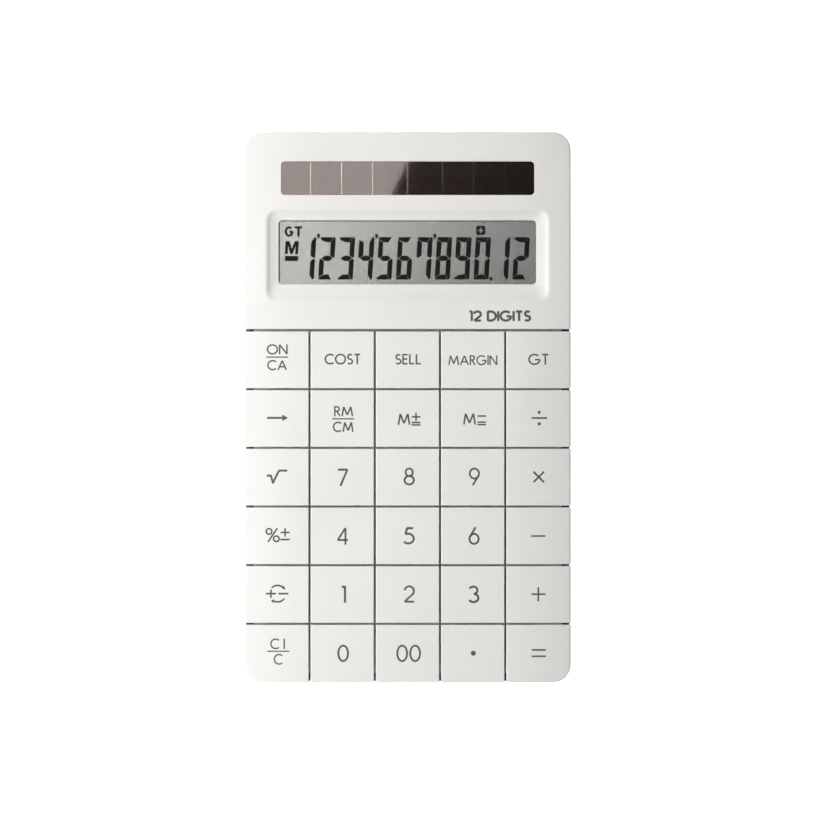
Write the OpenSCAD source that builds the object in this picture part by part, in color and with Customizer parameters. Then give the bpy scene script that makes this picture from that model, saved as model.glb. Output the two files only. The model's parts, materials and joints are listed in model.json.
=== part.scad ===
// Desk calculator: a thin slab of full-width keys and a display head on a wedge-shaped base.
// The slab is drawn in the deck frame, whose z = 0 is the top face and whose +Y runs to the rear.
// on_desk() then tilts it back and stands it on its feet, with the desk at z = 0.

/* [Body] */
// Width of the slab
body_w = 108.4; // [100:0.2:135]
// Length of the slab along the sloping top
body_l = 183; // [180:1:225]
// Corner radius of the slab seen from above
corner_r = 6; // [5:0.5:8]
// Rounding of the slab's outer top edge
edge_r = 0.5; // [0.4:0.1:1.3]
// Thickness of the slab at its outer edge
slab_h = 4.5; // [4:0.1:5.5]
// Slope of the top face, in degrees
tilt = 4; // [2:0.5:6]

/* [Keys] */
// Distance between rows of keys
key_pitch_y = 19.5; // [16:0.1:19.8]
// Gap between neighbouring keys
key_gap = 0.6; // [0.4:0.05:1]
// Gap between the head and the first row of keys
first_gap = 0.75; // [0.5:0.05:1]
// Full travel of a key
key_travel = 1.2; // [0.8:0.05:1.6]
// Thickness of a key's top
key_roof = 1.6; // [1.2:0.1:2]
// Depth of the skirts where keys meet
key_skirt_h = 3; // [2.6:0.1:3.6]
// Wall of those inner skirts
key_skirt = 1.2; // [0.8:0.1:1.6]
// Wall of the skirts along the outline
outer_skirt = 1.4; // [1:0.1:1.8]
// Radius of the plunger that presses the dome
plunger_r = 2.2; // [1.8:0.1:2.7]
// Width of a snap leg
leg_w = 3; // [2:0.1:4]
// Thickness of a snap leg
leg_t = 1; // [0.8:0.1:1.3]
// How far a leg's barb catches under the key deck
barb = 0.5; // [0.3:0.05:0.7]

/* [Stack] */
// Thickness of the key deck
deck_t = 1.2; // [1:0.1:1.6]
// Distance of the key deck's edge inside the outline
deck_inset = 3; // [2.6:0.1:3.4]
// Thickness of the rubber mat between its domes
mat_t = 0.7; // [0.5:0.1:1]
// Height of a dome above the mat
dome_h = 1.5; // [1.2:0.1:2]
// Thickness of the circuit board
board_t = 1; // [0.8:0.1:1.6]
// Distance of the circuit board's edge inside the outline
board_inset = 5.5; // [5.3:0.1:6.2]

/* [Head] */
// Thickness of the head's top
head_roof = 2.2; // [2:0.1:2.6]
// Wall of the head's sides
head_wall = 2; // [1.6:0.1:2.3]
// Solar window, across
solar_w = 84; // [65:1:90]
// Solar window, front to back
solar_l = 11; // [8:0.2:13.4]
// Centre of the solar window from the rear edge
solar_from_rear = 15.4; // [14:0.2:17]
// Display window, across
display_w = 85.6; // [65:0.2:89]
// Display window, front to back
display_l = 21.2; // [16:0.2:26]
// Centre of the display window from the rear edge
display_from_rear = 40; // [39:0.5:42]
// Depth of the sloping bezel around the display
bezel_d = 1.6; // [1:0.1:1.8]

/* [Base] */
// Inset of the base under the slab
base_inset = 0.3; // [0.2:0.1:1.2]
// Wall of the base
base_wall = 2; // [1.6:0.1:2.4]
// Floor of the base
floor_t = 1.5; // [1.4:0.1:2.5]
// Height of the feet below the base
foot_h = 0.8; // [0.6:0.1:2]
// Radius of a foot
foot_r = 5; // [4:0.5:7]
// How far the rear wall leans in at the bottom
rear_taper = 10; // [6:1:12]

/* [Battery] */
// Radius of the coin cell
cell_r = 10; // [8:0.5:12]
// Thickness of the coin cell
cell_h = 3.2; // [2:0.1:4]

/* [Hidden] */
$fn = 48;
KEYS = [
    ["key_on", "key_cost", "key_sell", "key_margin", "key_grand_total"],
    ["key_backspace", "key_memory_recall", "key_memory_add", "key_memory_subtract", "key_divide"],
    ["key_root", "key_7", "key_8", "key_9", "key_multiply"],
    ["key_percent", "key_4", "key_5", "key_6", "key_subtract"],
    ["key_sign", "key_1", "key_2", "key_3", "key_add"],
    ["key_clear", "key_0", "key_00", "key_point", "key_equals"]
];
KEY_NODES = [for (row = KEYS) each row];

// Colours
white = "#F3F1EE";
charcoal = "#3A3B3D";
rubber = "#2B2B2C";
mat_grey = "#B9BCBB";
board_green = "#2F6B45";
metal = "#C9CBCC";
wire_red = "#B03A2E";
resin = "#1C1C1E";

// Clearances
guide_gap = 0.08;   // plunger in its guide, all round
leg_gap = 0.2;      // leg in its slot, all round
catch_gap = 0.05;   // barb under the key deck, key at rest
stop_gap = 0.2;     // left under a skirt with the key fully down
rim_gap = 0.3;      // left under an outer skirt with the key fully down
leg_drop_gap = 0.15; // left under a leg with the key fully down
lens_gap = 0.1;     // a window in its opening, all round
seat_gap = 0.2;     // a panel or strip in its bracket, all round
film_gap = 0.1;     // between the display window and the display
boss_gap = 0.3;     // a boss in the holes it passes through
thread_gap = 0.05;  // a screw in the hole it is driven into
shank_gap = 0.2;    // a screw in a hole it passes through
head_gap = 0.3;     // a screw's head in its counterbore
hook_gap = 0.1;     // a hook in its notch
door_gap = 0.15;    // the battery cover in its opening
pad_gap = 0.1;      // a foot in its recess
bite = 0.2;         // how deep joined volumes run into each other
past = 1;           // how far a cut runs past what it cuts

// Key grid
cols = len(KEYS[0]);
rows = len(KEYS);
key_pitch_x = body_w / cols;
head_y = -body_l / 2 + rows * key_pitch_y; // middle of the gap between head and keys
head_front = head_y - key_gap / 2 + first_gap;
function column_x(c) = -body_w / 2 + (c + 0.5) * key_pitch_x;
function row_y(r) = head_y - (r + 0.5) * key_pitch_y;

// Heights in the deck frame, from the top down
deck_top = -(key_skirt_h + key_travel + stop_gap);
deck_under = deck_top - deck_t;
guide_top = -(key_roof + key_travel + 3 * stop_gap);
barb_top = deck_under - catch_gap;
barb_h = 0.9;
leg_end = barb_top - barb_h;
mat_top = leg_end - key_travel - leg_drop_gap;
dome_top = mat_top + dome_h;
board_top = mat_top - mat_t;
board_under = board_top - board_t;
rim_top = -(slab_h + key_travel + rim_gap);
ledge_t = 1.5;
ledge_under = rim_top - ledge_t;

// How the slab stands on the desk
under_board = 0.9;  // room between the board's front edge and the floor
floor_top = foot_h + floor_t;
front_drop = (under_board - board_under) * cos(tilt) - board_inset * sin(tilt);
deck_h = floor_top + front_drop + body_l / 2 * sin(tilt);
deck_shift = -(slab_h * sin(tilt) + edge_r * (cos(tilt) + sin(tilt) - 1)) / 2;
// Height above the desk, at desk position y, of the deck-frame plane z
function height_at(y, z) = (y - deck_shift) * tan(tilt) + z / cos(tilt) + deck_h;

// Screws and bosses
boss_r = 2.5;
pillar_r = 3.4;
case_screw = [0.95, 5, 1.9, 1.3];   // shank radius and length, head radius and height
small_screw = [0.8, 3.4, 1.6, 1];
recess_w = 0.5;     // arm of a screw head's cross recess
screw_web = 2;      // plastic between a case screw's head and the boss it pulls on
case_screw_rows = [1, rows - 1];
board_screw_rows = [2, rows - 2];
CASE_BOSSES = [for (r = case_screw_rows, s = [-1, 1]) [s * 1.5 * key_pitch_x, head_y - r * key_pitch_y]];
BOARD_BOSSES = [for (r = board_screw_rows, s = [-1, 1]) [s * 0.5 * key_pitch_x, head_y - r * key_pitch_y]];

module on_desk() {
    translate([0, deck_shift, deck_h]) rotate([tilt, 0, 0]) children();
}

module at(points, z) {
    for (p = points) translate([p[0], p[1], z]) children();
}

// Every key's centre, at height z
module at_keys(z) {
    for (c = [0:cols - 1], r = [0:rows - 1]) translate([column_x(c), row_y(r), z]) children();
}

// A rectangle with round corners, in true arcs
module rounded_rect(w, l, r) {
    square([w - 2 * r, l], center = true);
    square([w, l - 2 * r], center = true);
    for (x = [-1, 1], y = [-1, 1])
        translate([x * (w / 2 - r), y * (l / 2 - r)]) circle(r);
}

// A plate whose top is at height z
module plate(w, l, r, z, t) {
    translate([0, 0, z - t]) linear_extrude(t) rounded_rect(w, l, r);
}

// The slab's outline, drawn in by inset, between two heights
module outline(inset, low, high) {
    translate([0, 0, low]) linear_extrude(high - low)
        rounded_rect(body_w - 2 * inset, body_l - 2 * inset, max(corner_r - inset, 1));
}

// Square box given by its corners
module block(low, high) {
    translate(low) cube(high - low);
}

// What the rounding takes off the slab's outer top edge
module top_round() {
    for (a = [0:3]) {
        across = (a % 2 == 0 ? body_w : body_l) / 2;
        along = (a % 2 == 0 ? body_l : body_w) / 2;
        rotate([0, 0, 90 * a]) {
            translate([across - edge_r, along - corner_r, -edge_r])
                rotate([90, 0, 0]) linear_extrude(2 * (along - corner_r)) round_profile();
            translate([across - corner_r, along - corner_r, -edge_r])
                rotate_extrude(angle = 90) translate([corner_r - edge_r, 0]) round_profile();
        }
    }
}

module round_profile() {
    difference() {
        square(edge_r + past);
        circle(edge_r);
    }
}

// A screw standing on its head, with the head's outer face at z = 0
module screw(size) {
    difference() {
        union() {
            cylinder(r = size[2], h = size[3]);
            cylinder(r = size[0], h = size[3] + size[1]);
        }
        for (a = [0, 90])
            rotate([0, 0, a]) block([-size[0], -recess_w / 2, -past], [size[0], recess_w / 2, size[3] / 2]);
    }
}

// --- Keys ---

// Left, right, front and rear sides of the key in column c and row r
function key_x0(c) = c == 0 ? -body_w / 2 : column_x(c) - key_pitch_x / 2 + key_gap / 2;
function key_x1(c) = c == cols - 1 ? body_w / 2 : column_x(c) + key_pitch_x / 2 - key_gap / 2;
function key_y0(r) = r == rows - 1 ? -body_l / 2 : row_y(r) - key_pitch_y / 2 + key_gap / 2;
function key_y1(r) = row_y(r) + key_pitch_y / 2 - key_gap / 2;
function on_edge(c, r) = c == 0 || c == cols - 1 || r == rows - 1;

guide_wall = 1.1;
guide_r = plunger_r + guide_gap + guide_wall;
leg_x = guide_r + 2 * leg_gap + leg_t / 2;

// Keeps what lies inside the outline, where the key is at the slab's edge
module within(c, r, inset) {
    if (on_edge(c, r))
        intersection() {
            children();
            outline(inset, -3 * slab_h, slab_h);
        }
    else
        children();
}

module key_tile(c, r) {
    x0 = key_x0(c);
    x1 = key_x1(c);
    y0 = key_y0(r);
    y1 = key_y1(r);
    low = -slab_h - past;
    difference() {
        within(c, r, 0) block([x0, y0, -slab_h], [x1, y1, 0]);
        if (on_edge(c, r)) top_round();
        within(c, r, outer_skirt)
            block([x0 - past, y0 - past, low], [x1 + past, y1 + past, -key_skirt_h]);
        within(c, r, outer_skirt)
            block([x0 + key_skirt, y0 + key_skirt, low], [x1 - key_skirt, y1 - key_skirt, -key_roof]);
    }
}

module snap_leg() {
    block([-leg_t / 2, -leg_w / 2, leg_end], [leg_t / 2, leg_w / 2, bite - key_roof]);
    block([0, -leg_w / 2, leg_end], [leg_t / 2 + leg_gap + barb, leg_w / 2, barb_top]);
}

module key(c, r) {
    color(white) on_desk() {
        key_tile(c, r);
        translate([column_x(c), row_y(r), 0]) {
            translate([0, 0, dome_top]) cylinder(r = plunger_r, h = bite - key_roof - dome_top);
            for (a = [0, 180])
                rotate([0, 0, a]) translate([leg_x, 0, 0]) snap_leg();
        }
    }
}

// --- Upper case: the display head and the sunk deck that carries the keys ---

solar_y = body_l / 2 - solar_from_rear;
display_y = body_l / 2 - display_from_rear;
window_r = 1.2;
flange = 1.2;       // how far a window reaches under the case
solar_lip = 1;      // case left above the solar window's flange
bezel = [4.1, 3.4, 5.6];    // width of the bezel's slopes: at the sides, rear and front
bezel_r = 3.4;
hook_xs = [-30, 0, 30];
hook_w = 6;
hook_t = 0.8;
neck_inset = deck_inset;
neck_t = 1.5;
neck_top = -3;      // top of the base's neck inside the head
hook_top = neck_top - 1;
hook_tip = body_l / 2 - neck_inset - 1;

module bezel_recess() {
    w = display_w + 2 * bezel[0];
    l = display_l + bezel[1] + bezel[2];
    hull() {
        translate([0, display_y + (bezel[1] - bezel[2]) / 2, 0])
            linear_extrude(past) rounded_rect(w, l, bezel_r, $fn = 32);
        translate([0, display_y, -bezel_d])
            linear_extrude(bezel_d) rounded_rect(display_w, display_l, window_r, $fn = 32);
    }
}

module head_shell() {
    inner = head_front + head_wall;
    difference() {
        intersection() {
            outline(0, -slab_h, 0);
            block([-body_w, head_front, -2 * slab_h], [body_w, body_l, past]);
        }
        top_round();
        intersection() {
            outline(head_wall, -2 * slab_h, -head_roof);
            block([-body_w, inner, -2 * slab_h], [body_w, body_l, 0]);
        }
        bezel_recess();
        translate([0, display_y, 0]) plate(display_w, display_l, window_r, past, head_roof + 2 * past);
        translate([0, solar_y, 0]) {
            plate(solar_w, solar_l, window_r, past, head_roof + 2 * past);
            plate(solar_w + 2 * (flange + lens_gap), solar_l + 2 * (flange + lens_gap), window_r,
                  -solar_lip, head_roof);
        }
    }
    for (x = hook_xs)
        block([x - hook_w / 2, hook_tip, hook_top - hook_t],
              [x + hook_w / 2, body_l / 2 - head_wall + bite, hook_top]);
}

module key_deck() {
    rear = head_front + head_wall;
    intersection() {
        outline(deck_inset, deck_under, deck_top);
        block([-body_w, -body_l, deck_under], [body_w, rear, 0]);
    }
    // the wall that closes the head towards the keys stands on the deck
    block([-body_w / 2 + deck_inset, head_front, deck_under], [body_w / 2 - deck_inset, rear, -head_roof]);
    at_keys(deck_under) cylinder(r = guide_r, h = guide_top - deck_under);
    at(CASE_BOSSES, board_under) cylinder(r = boss_r, h = deck_top - board_under);
    at(BOARD_BOSSES, board_top) cylinder(r = boss_r, h = deck_top - board_top);
}

// Bore in every boss for its screw's thread
module screw_bores(bosses, z, size, reach) {
    at(bosses, z - past) cylinder(r = size[0] + thread_gap, h = reach + 2 * past);
}

module upper_case() {
    slot = [leg_t + 2 * leg_gap, leg_w + 2 * leg_gap];
    color(white) on_desk() {
        head_shell();
        difference() {
            key_deck();
            at_keys(deck_under - past) {
                cylinder(r = plunger_r + guide_gap, h = guide_top - deck_under + 2 * past);
                linear_extrude(deck_t + 2 * past)
                    for (s = [-1, 1]) translate([s * leg_x, 0]) square(slot, center = true);
            }
            screw_bores(CASE_BOSSES, board_under, case_screw, case_screw[1] - screw_web);
            screw_bores(BOARD_BOSSES, board_top, small_screw, small_screw[1] - board_t);
        }
    }
}

// --- Rubber mat and circuit board ---

dome_r = leg_x - leg_t / 2 - 0.1;
dome_top_r = plunger_r + 0.3;
dome_wall = 0.6;
dome_taper_h = 0.65 * dome_h;   // lower part of a dome, which widens to the mat
pill_r = dome_top_r - dome_wall - 0.4;
pill_h = 0.3;
board_rear = solar_y + 1;

// What the board and the mat fill inside the base's neck, from the front to y = rear
module inner_area(rear, low, high) {
    intersection() {
        outline(board_inset, low, high);
        block([-body_w, -body_l, low], [body_w, rear, high]);
    }
}

module dome_mat() {
    color(mat_grey) on_desk() difference() {
        union() {
            inner_area(head_y, board_top, mat_top);
            at_keys(mat_top - bite) {
                cylinder(r1 = dome_r, r2 = dome_top_r, h = dome_taper_h + bite);
                cylinder(r = dome_top_r, h = dome_h + bite);
            }
        }
        at_keys(board_top - past) cylinder(r = dome_r - dome_wall, h = mat_t + past);
        at_keys(mat_top - bite)
            cylinder(r1 = dome_r - dome_wall, r2 = dome_top_r - dome_wall, h = dome_taper_h);
        at(concat(CASE_BOSSES, BOARD_BOSSES), board_top - past)
            cylinder(r = boss_r + boss_gap, h = mat_t + 2 * past);
    }
}

// Conductive discs inside the domes' tops
module contact_pills() {
    color(rubber) on_desk()
        at_keys(mat_top - bite + dome_taper_h - pill_h) cylinder(r = pill_r, h = pill_h);
}

module circuit_board() {
    color(board_green) on_desk() difference() {
        inner_area(board_rear, board_under, board_top);
        at(CASE_BOSSES, board_under - past) cylinder(r = boss_r + boss_gap, h = board_t + 2 * past);
        at(BOARD_BOSSES, board_under - past)
            cylinder(r = small_screw[0] + shank_gap, h = board_t + 2 * past);
    }
}

// Resin drop over the bare chip, under the board
chip_y = head_y - 2;
blob_r = 6;
blob_h = 1.6;

module processor_blob() {
    color(resin) on_desk() translate([0, chip_y, board_under - blob_h])
        cylinder(r1 = blob_r - blob_h, r2 = blob_r, h = blob_h);
}

// Two rows of resistors and ceramic capacitors beside the chip
chip_part = [1.6, 0.8, 0.6];
chip_part_step = 4;
chip_part_count = 6;

module surface_mount_parts() {
    row_w = (chip_part_count - 1) * chip_part_step;
    color("#8A7A62") on_desk() translate([-row_w / 2, chip_y, board_under - chip_part[2] / 2])
        for (i = [0:chip_part_count - 1], s = [-1, 1])
            translate([i * chip_part_step, s * (blob_r + 3), 0]) cube(chip_part, center = true);
}

can_r = 2;
can_h = 4.5;
can_x = 20;
pin_r = 0.25;
pin_h = 0.4;

module capacitor() {
    color("#31405E") on_desk() translate([can_x, chip_y, board_under - can_h - pin_h]) {
        cylinder(r = can_r, h = can_h);
        for (s = [-1, 1]) translate([s * can_r / 2, 0, can_h - bite]) cylinder(r = pin_r, h = pin_h + bite);
    }
}

// Screws under the board, driven up into the upper case
module board_screws() {
    color(metal) on_desk() at(BOARD_BOSSES, board_under - small_screw[3]) screw(small_screw);
}

// --- Solar cell ---

solar_sink = 0.3;   // solar window below the top face
solar_flange_t = 0.8;
solar_under = -solar_lip - solar_flange_t;
panel_w = solar_w + 2 * flange;
panel_l = solar_l + 2 * flange;
panel_t = 1.1;
cell_layer_t = 0.2;
cell_line = 0.25;   // bare glass between neighbouring strips
cell_margin = 0.6;
cells = 8;
wide_cell = 1.13;   // width of the two middle strips over that of the others
lead_r = 0.5;
lead_x = solar_w / 2 - 6;

module solar_window() {
    color("#8FA3A8", 0.5) on_desk() translate([0, solar_y, 0]) {
        plate(solar_w - 2 * lens_gap, solar_l - 2 * lens_gap, window_r - lens_gap,
              -solar_sink, solar_lip - solar_sink + bite);
        plate(panel_w, panel_l, window_r, -solar_lip, solar_flange_t);
    }
}

module solar_panel() {
    color("#3A3430", 0.6) on_desk() translate([0, solar_y, 0])
        plate(panel_w, panel_l, window_r, solar_under, panel_t);
}

// Silicon strips on the back of the glass
module solar_cells() {
    step = (panel_w / 2 - cell_margin) / (cells / 2 - 1 + wide_cell);
    edges = concat([0], [for (i = [0:cells / 2 - 1]) (i + wide_cell) * step]);
    half_l = panel_l / 2 - cell_margin;
    color("#2A1F1C") on_desk() translate([0, solar_y, solar_under - panel_t - cell_layer_t])
        for (i = [0:cells / 2 - 1], s = [0, 1])
            mirror([s, 0, 0])
                block([edges[i] + cell_line / 2, -half_l, 0],
                      [edges[i + 1] - cell_line / 2, half_l, cell_layer_t]);
}

// Two wires from the back of the solar panel down to the board
module solar_leads() {
    length = solar_under - panel_t - cell_layer_t - board_top;
    color(wire_red) on_desk()
        for (s = [-1, 1])
            translate([s * lead_x, solar_y - solar_l / 4, board_top]) cylinder(r = lead_r, h = length);
}

// --- Display ---

lens_t = 1;
glass_t = 0.7;
film_t = 0.2;
glass_margin_x = 2.7;   // how far the display's glass reaches past its window
glass_margin_y = 1.4;
contact_ledge = 3.5;    // front glass left bare for the contacts
lcd_w = display_w + 2 * glass_margin_x;
lcd_l = display_l + 2 * glass_margin_y;
lcd_front = display_y - lcd_l / 2;
glass_top = -head_roof - lens_t - film_gap - film_t;
glass_under = glass_top - 2 * glass_t;
lcd_under = glass_under - film_t;
bracket_wall = 1.5;
bracket_shelf = 1;
strip_t = 2;
strip_y = lcd_front - contact_ledge / 2;

module display_window() {
    color("#A9B4B4", 0.4) on_desk() translate([0, display_y, 0])
        plate(display_w + 2 * flange, display_l + 2 * flange, window_r, -head_roof, lens_t);
}

// A film laid on the display's glass, its top at height z
module film(z) {
    on_desk() translate([0, display_y, 0])
        plate(lcd_w - glass_t, lcd_l - glass_t, film_t, z, film_t);
}

module front_polariser() {
    color("#8E928C", 0.8) film(glass_top + film_t);
}

// Two sheets of glass, of which the front one reaches forward as the contact ledge
module lcd_glass() {
    color("#9BA09A", 0.7) on_desk() {
        block([-lcd_w / 2, lcd_front - contact_ledge, glass_top - glass_t],
              [lcd_w / 2, lcd_front + lcd_l, glass_top]);
        block([-lcd_w / 2, lcd_front, glass_under], [lcd_w / 2, lcd_front + lcd_l, glass_top - glass_t]);
    }
}

module rear_reflector() {
    color("#B4B7B1") film(glass_under);
}

// Frame that carries the display above the board, open over the connector strip
module lcd_bracket() {
    low = lcd_front - contact_ledge - seat_gap;
    high = lcd_front + lcd_l + seat_gap;
    half = lcd_w / 2 + seat_gap;
    w = bracket_wall;
    color("#D8D8D4") on_desk() difference() {
        block([-half - w, low - w, board_top], [half + w, high + w, -head_roof]);
        block([-half, low, lcd_under], [half, high, 0]);
        block([-half, low, board_top - past], [half, high, lcd_under - bracket_shelf]);
        block([-half + bracket_shelf, strip_y - strip_t / 2 - seat_gap, board_top - past],
              [half - bracket_shelf, strip_y + strip_t / 2 + seat_gap, 0]);
    }
}

// Striped rubber connector between the board and the display's contact ledge
module zebra_strip() {
    half = lcd_w / 2 - bracket_shelf - seat_gap;
    color("#77797B") on_desk()
        block([-half, strip_y - strip_t / 2, board_top], [half, strip_y + strip_t / 2, glass_top - glass_t]);
}

// --- Base, in the desk frame ---

base_corner = corner_r - base_inset;
side_taper_front = 3;
side_taper_rear = 5;
front_taper = 4;
foot_sink = 0.7;
foot_chamfer = 0.3;
foot_x = body_w / 2 - 14;
front_foot_y = -body_l / 2 + 13.5;
rear_foot_y = body_l / 2 - 22;
sliver = 0.01;      // thickness of the outlines that the wedge is stretched between

// Round-cornered wedge from the rim down to a level bottom, drawn in by inset all round
module wedge(inset, top, bottom) {
    r = base_corner - inset / 2;
    front = -body_l / 2 + front_taper + inset + r;
    rear = body_l / 2 - rear_taper - inset - r;
    hull() {
        on_desk() translate([0, 0, top - sliver]) linear_extrude(sliver)
            rounded_rect(body_w - 2 * (base_inset + inset), body_l - 2 * (base_inset + inset), r, $fn = 32);
        for (s = [-1, 1]) {
            translate([s * (body_w / 2 - side_taper_front - inset - r), front, bottom])
                cylinder(r = r, h = sliver, $fn = 32);
            translate([s * (body_w / 2 - side_taper_rear - inset - r), rear, bottom])
                cylinder(r = r, h = sliver, $fn = 32);
        }
    }
}

// Raised wall inside the slab: it carries the key deck and stands higher inside the head
module neck() {
    head_start = head_front + head_wall + boss_gap;
    difference() {
        union() {
            outline(neck_inset, ledge_under, deck_under);
            intersection() {
                outline(neck_inset, ledge_under, neck_top);
                block([-body_w, head_start, ledge_under], [body_w, body_l, 0]);
            }
        }
        outline(neck_inset + neck_t, ledge_under - past, 0);
        for (x = hook_xs)
            block([x - hook_w / 2 - hook_gap, hook_tip - past, hook_top - hook_t - hook_gap],
                  [x + hook_w / 2 + hook_gap, body_l / 2, hook_top + hook_gap]);
    }
}

module feet_at(y) {
    for (s = [-1, 1]) translate([s * foot_x, y, 0]) children();
}

module rear_cover() {
    deep = 3 * deck_h;
    color(charcoal) difference() {
        union() {
            difference() {
                union() {
                    wedge(0, rim_top, foot_h);
                    on_desk() neck();
                }
                wedge(base_wall, ledge_under, floor_top);
                on_desk() outline(neck_inset + neck_t, ledge_under - past, past);
            }
            intersection() {
                on_desk() at(CASE_BOSSES, board_under - deep) cylinder(r = pillar_r, h = deep);
                block([-body_w, -body_l, foot_h + bite], [body_w, body_l, deep]);
            }
            battery_well();
        }
        on_desk() {
            at(CASE_BOSSES, board_under - screw_web - deep)
                cylinder(r = case_screw[2] + head_gap, h = deep);
            at(CASE_BOSSES, board_under - screw_web - past)
                cylinder(r = case_screw[0] + shank_gap, h = screw_web + 2 * past);
        }
        for (y = [front_foot_y, rear_foot_y])
            feet_at(y) translate([0, 0, -past]) cylinder(r = foot_r + pad_gap, h = foot_h + foot_sink + past);
        battery_space();
    }
}

module foot() {
    cylinder(r1 = foot_r - foot_chamfer, r2 = foot_r, h = foot_chamfer);
    translate([0, 0, foot_chamfer]) cylinder(r = foot_r, h = foot_h + foot_sink - foot_chamfer);
}

module front_feet() {
    color(rubber) feet_at(front_foot_y) foot();
}

module rear_feet() {
    color(rubber) feet_at(rear_foot_y) foot();
}

module case_screws() {
    color(metal) on_desk() at(CASE_BOSSES, board_under - screw_web - case_screw[3]) screw(case_screw);
}

// --- Battery compartment ---

contact_t = 0.3;
cell_z = floor_top + 0.1;
cell_x = -4;
cell_rim_h = 0.8;   // step between the cell's can and its cap
cell_rim_w = 1;
well_wall = 1.5;
well_w = 2 * cell_r + 14;
well_l = 2 * cell_r + 4;
well_top = cell_z + cell_h + 2 * contact_t;
well_margin = 2.5;  // floor left behind the compartment
well_y = body_l / 2 - rear_taper - well_margin - well_wall - well_l / 2;
post_x = well_w / 2 - 4.5;
cover_top = floor_top - 0.1;
cover_recess = 1;   // depth of the battery cover's screw head below its face
post_hole_top = foot_h + cover_recess + small_screw[1] + 0.3;
tab_ys = [-6, 6];
tab_w = 6;
tab_l = 1.2;
tab_t = 0.8;
solder_tab_h = 3;   // how far a contact stands up out of the compartment
spring_w = 6;
cap_contact = [10, 4];
solder_tab_w = [4, 2.7];    // negative and positive contact
slot_gap = 0.3;

// Walls and ceiling around the cell
module battery_well() {
    w = well_w / 2 + well_wall;
    l = well_l / 2 + well_wall;
    translate([0, well_y, 0]) block([-w, -l, foot_h + bite], [w, l, well_top + well_wall]);
}

// The compartment, with its screw post, the cover's tab slots and the contacts' slots
module battery_space() {
    tab_reach = tab_l + door_gap;
    translate([0, well_y, 0]) {
        difference() {
            block([-well_w / 2, -well_l / 2, -past], [well_w / 2, well_l / 2, well_top]);
            translate([post_x, 0, floor_top]) cylinder(r = boss_r, h = well_top);
        }
        translate([post_x, 0, 0]) cylinder(r = small_screw[0] + thread_gap, h = post_hole_top);
        for (y = tab_ys)
            block([-well_w / 2 - tab_reach, y - tab_w / 2 - door_gap, cover_top - tab_t - door_gap],
                  [-well_w / 2 + past, y + tab_w / 2 + door_gap, floor_top]);
        for (i = [0, 1])
            translate([contact_x(i), 0, well_top - past]) linear_extrude(well_wall + 2 * past)
                square([solder_tab_w[i] + 2 * slot_gap, contact_t + 2 * slot_gap], center = true);
    }
}

// Where the negative (0) and positive (1) contacts stand
function contact_x(i) = cell_x + i * (cell_r + contact_t / 2);

module battery_cover() {
    color(charcoal) translate([0, well_y, 0]) difference() {
        union() {
            block([-well_w / 2 + door_gap, -well_l / 2 + door_gap, foot_h],
                  [well_w / 2 - door_gap, well_l / 2 - door_gap, cover_top]);
            for (y = tab_ys)
                block([-well_w / 2 - tab_l, y - tab_w / 2, cover_top - tab_t],
                      [-well_w / 2 + past, y + tab_w / 2, cover_top]);
        }
        translate([post_x, 0, 0]) {
            cylinder(r = small_screw[0] + shank_gap, h = floor_top);
            cylinder(r = small_screw[2] + shank_gap, h = foot_h + cover_recess);
        }
    }
}

module battery_cover_screw() {
    color(metal) translate([post_x, well_y, foot_h + cover_recess - small_screw[3]]) screw(small_screw);
}

module coin_cell() {
    color(metal) translate([cell_x, well_y, cell_z]) {
        cylinder(r = cell_r, h = cell_h - cell_rim_h);
        cylinder(r = cell_r - cell_rim_w, h = cell_h);
    }
}

// Upright strip that a contact's wire is soldered to
module solder_tab(i, low) {
    translate([contact_x(i), 0, low])
        linear_extrude(well_top + well_wall + solder_tab_h - low)
            square([solder_tab_w[i], contact_t], center = true);
}

module negative_contact() {
    color(metal) translate([0, well_y, 0]) {
        translate([cell_x, 0, well_top - contact_t]) linear_extrude(contact_t)
            square(cap_contact, center = true);
        translate([cell_x, 0, well_top - 2 * contact_t])
            cylinder(r = cap_contact[1] / 3, h = 1.5 * contact_t);
        solder_tab(0, well_top - contact_t);
    }
}

module positive_contact() {
    x = cell_x + cell_r;
    color(metal) translate([0, well_y, 0]) {
        block([x, -spring_w / 2, cell_z + contact_t], [x + contact_t, spring_w / 2, well_top]);
        solder_tab(1, well_top - contact_t);
    }
}

// Wires from the two contacts up to the underside of the board
module battery_leads() {
    low = well_top + well_wall + solder_tab_h;
    color(wire_red) for (i = [0, 1])
        translate([contact_x(i), well_y, low])
            cylinder(r = lead_r, h = height_at(well_y - lead_r, board_under) - low);
}

for (r = [0:rows - 1], c = [0:cols - 1])
    key(c, r);
upper_case();
solar_window();
display_window();
solar_panel();
solar_cells();
solar_leads();
lcd_glass();
front_polariser();
rear_reflector();
lcd_bracket();
zebra_strip();
dome_mat();
contact_pills();
circuit_board();
processor_blob();
surface_mount_parts();
capacitor();
board_screws();
rear_cover();
case_screws();
battery_cover();
battery_cover_screw();
coin_cell();
positive_contact();
negative_contact();
battery_leads();
front_feet();
rear_feet();
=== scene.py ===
"""A desk calculator: full-width white keys and a white display head on a charcoal wedge base."""
import json
import logging
import math
from dataclasses import dataclass, field
from enum import Enum
from typing import Callable

import bpy
from mathutils import Matrix, Vector


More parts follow.
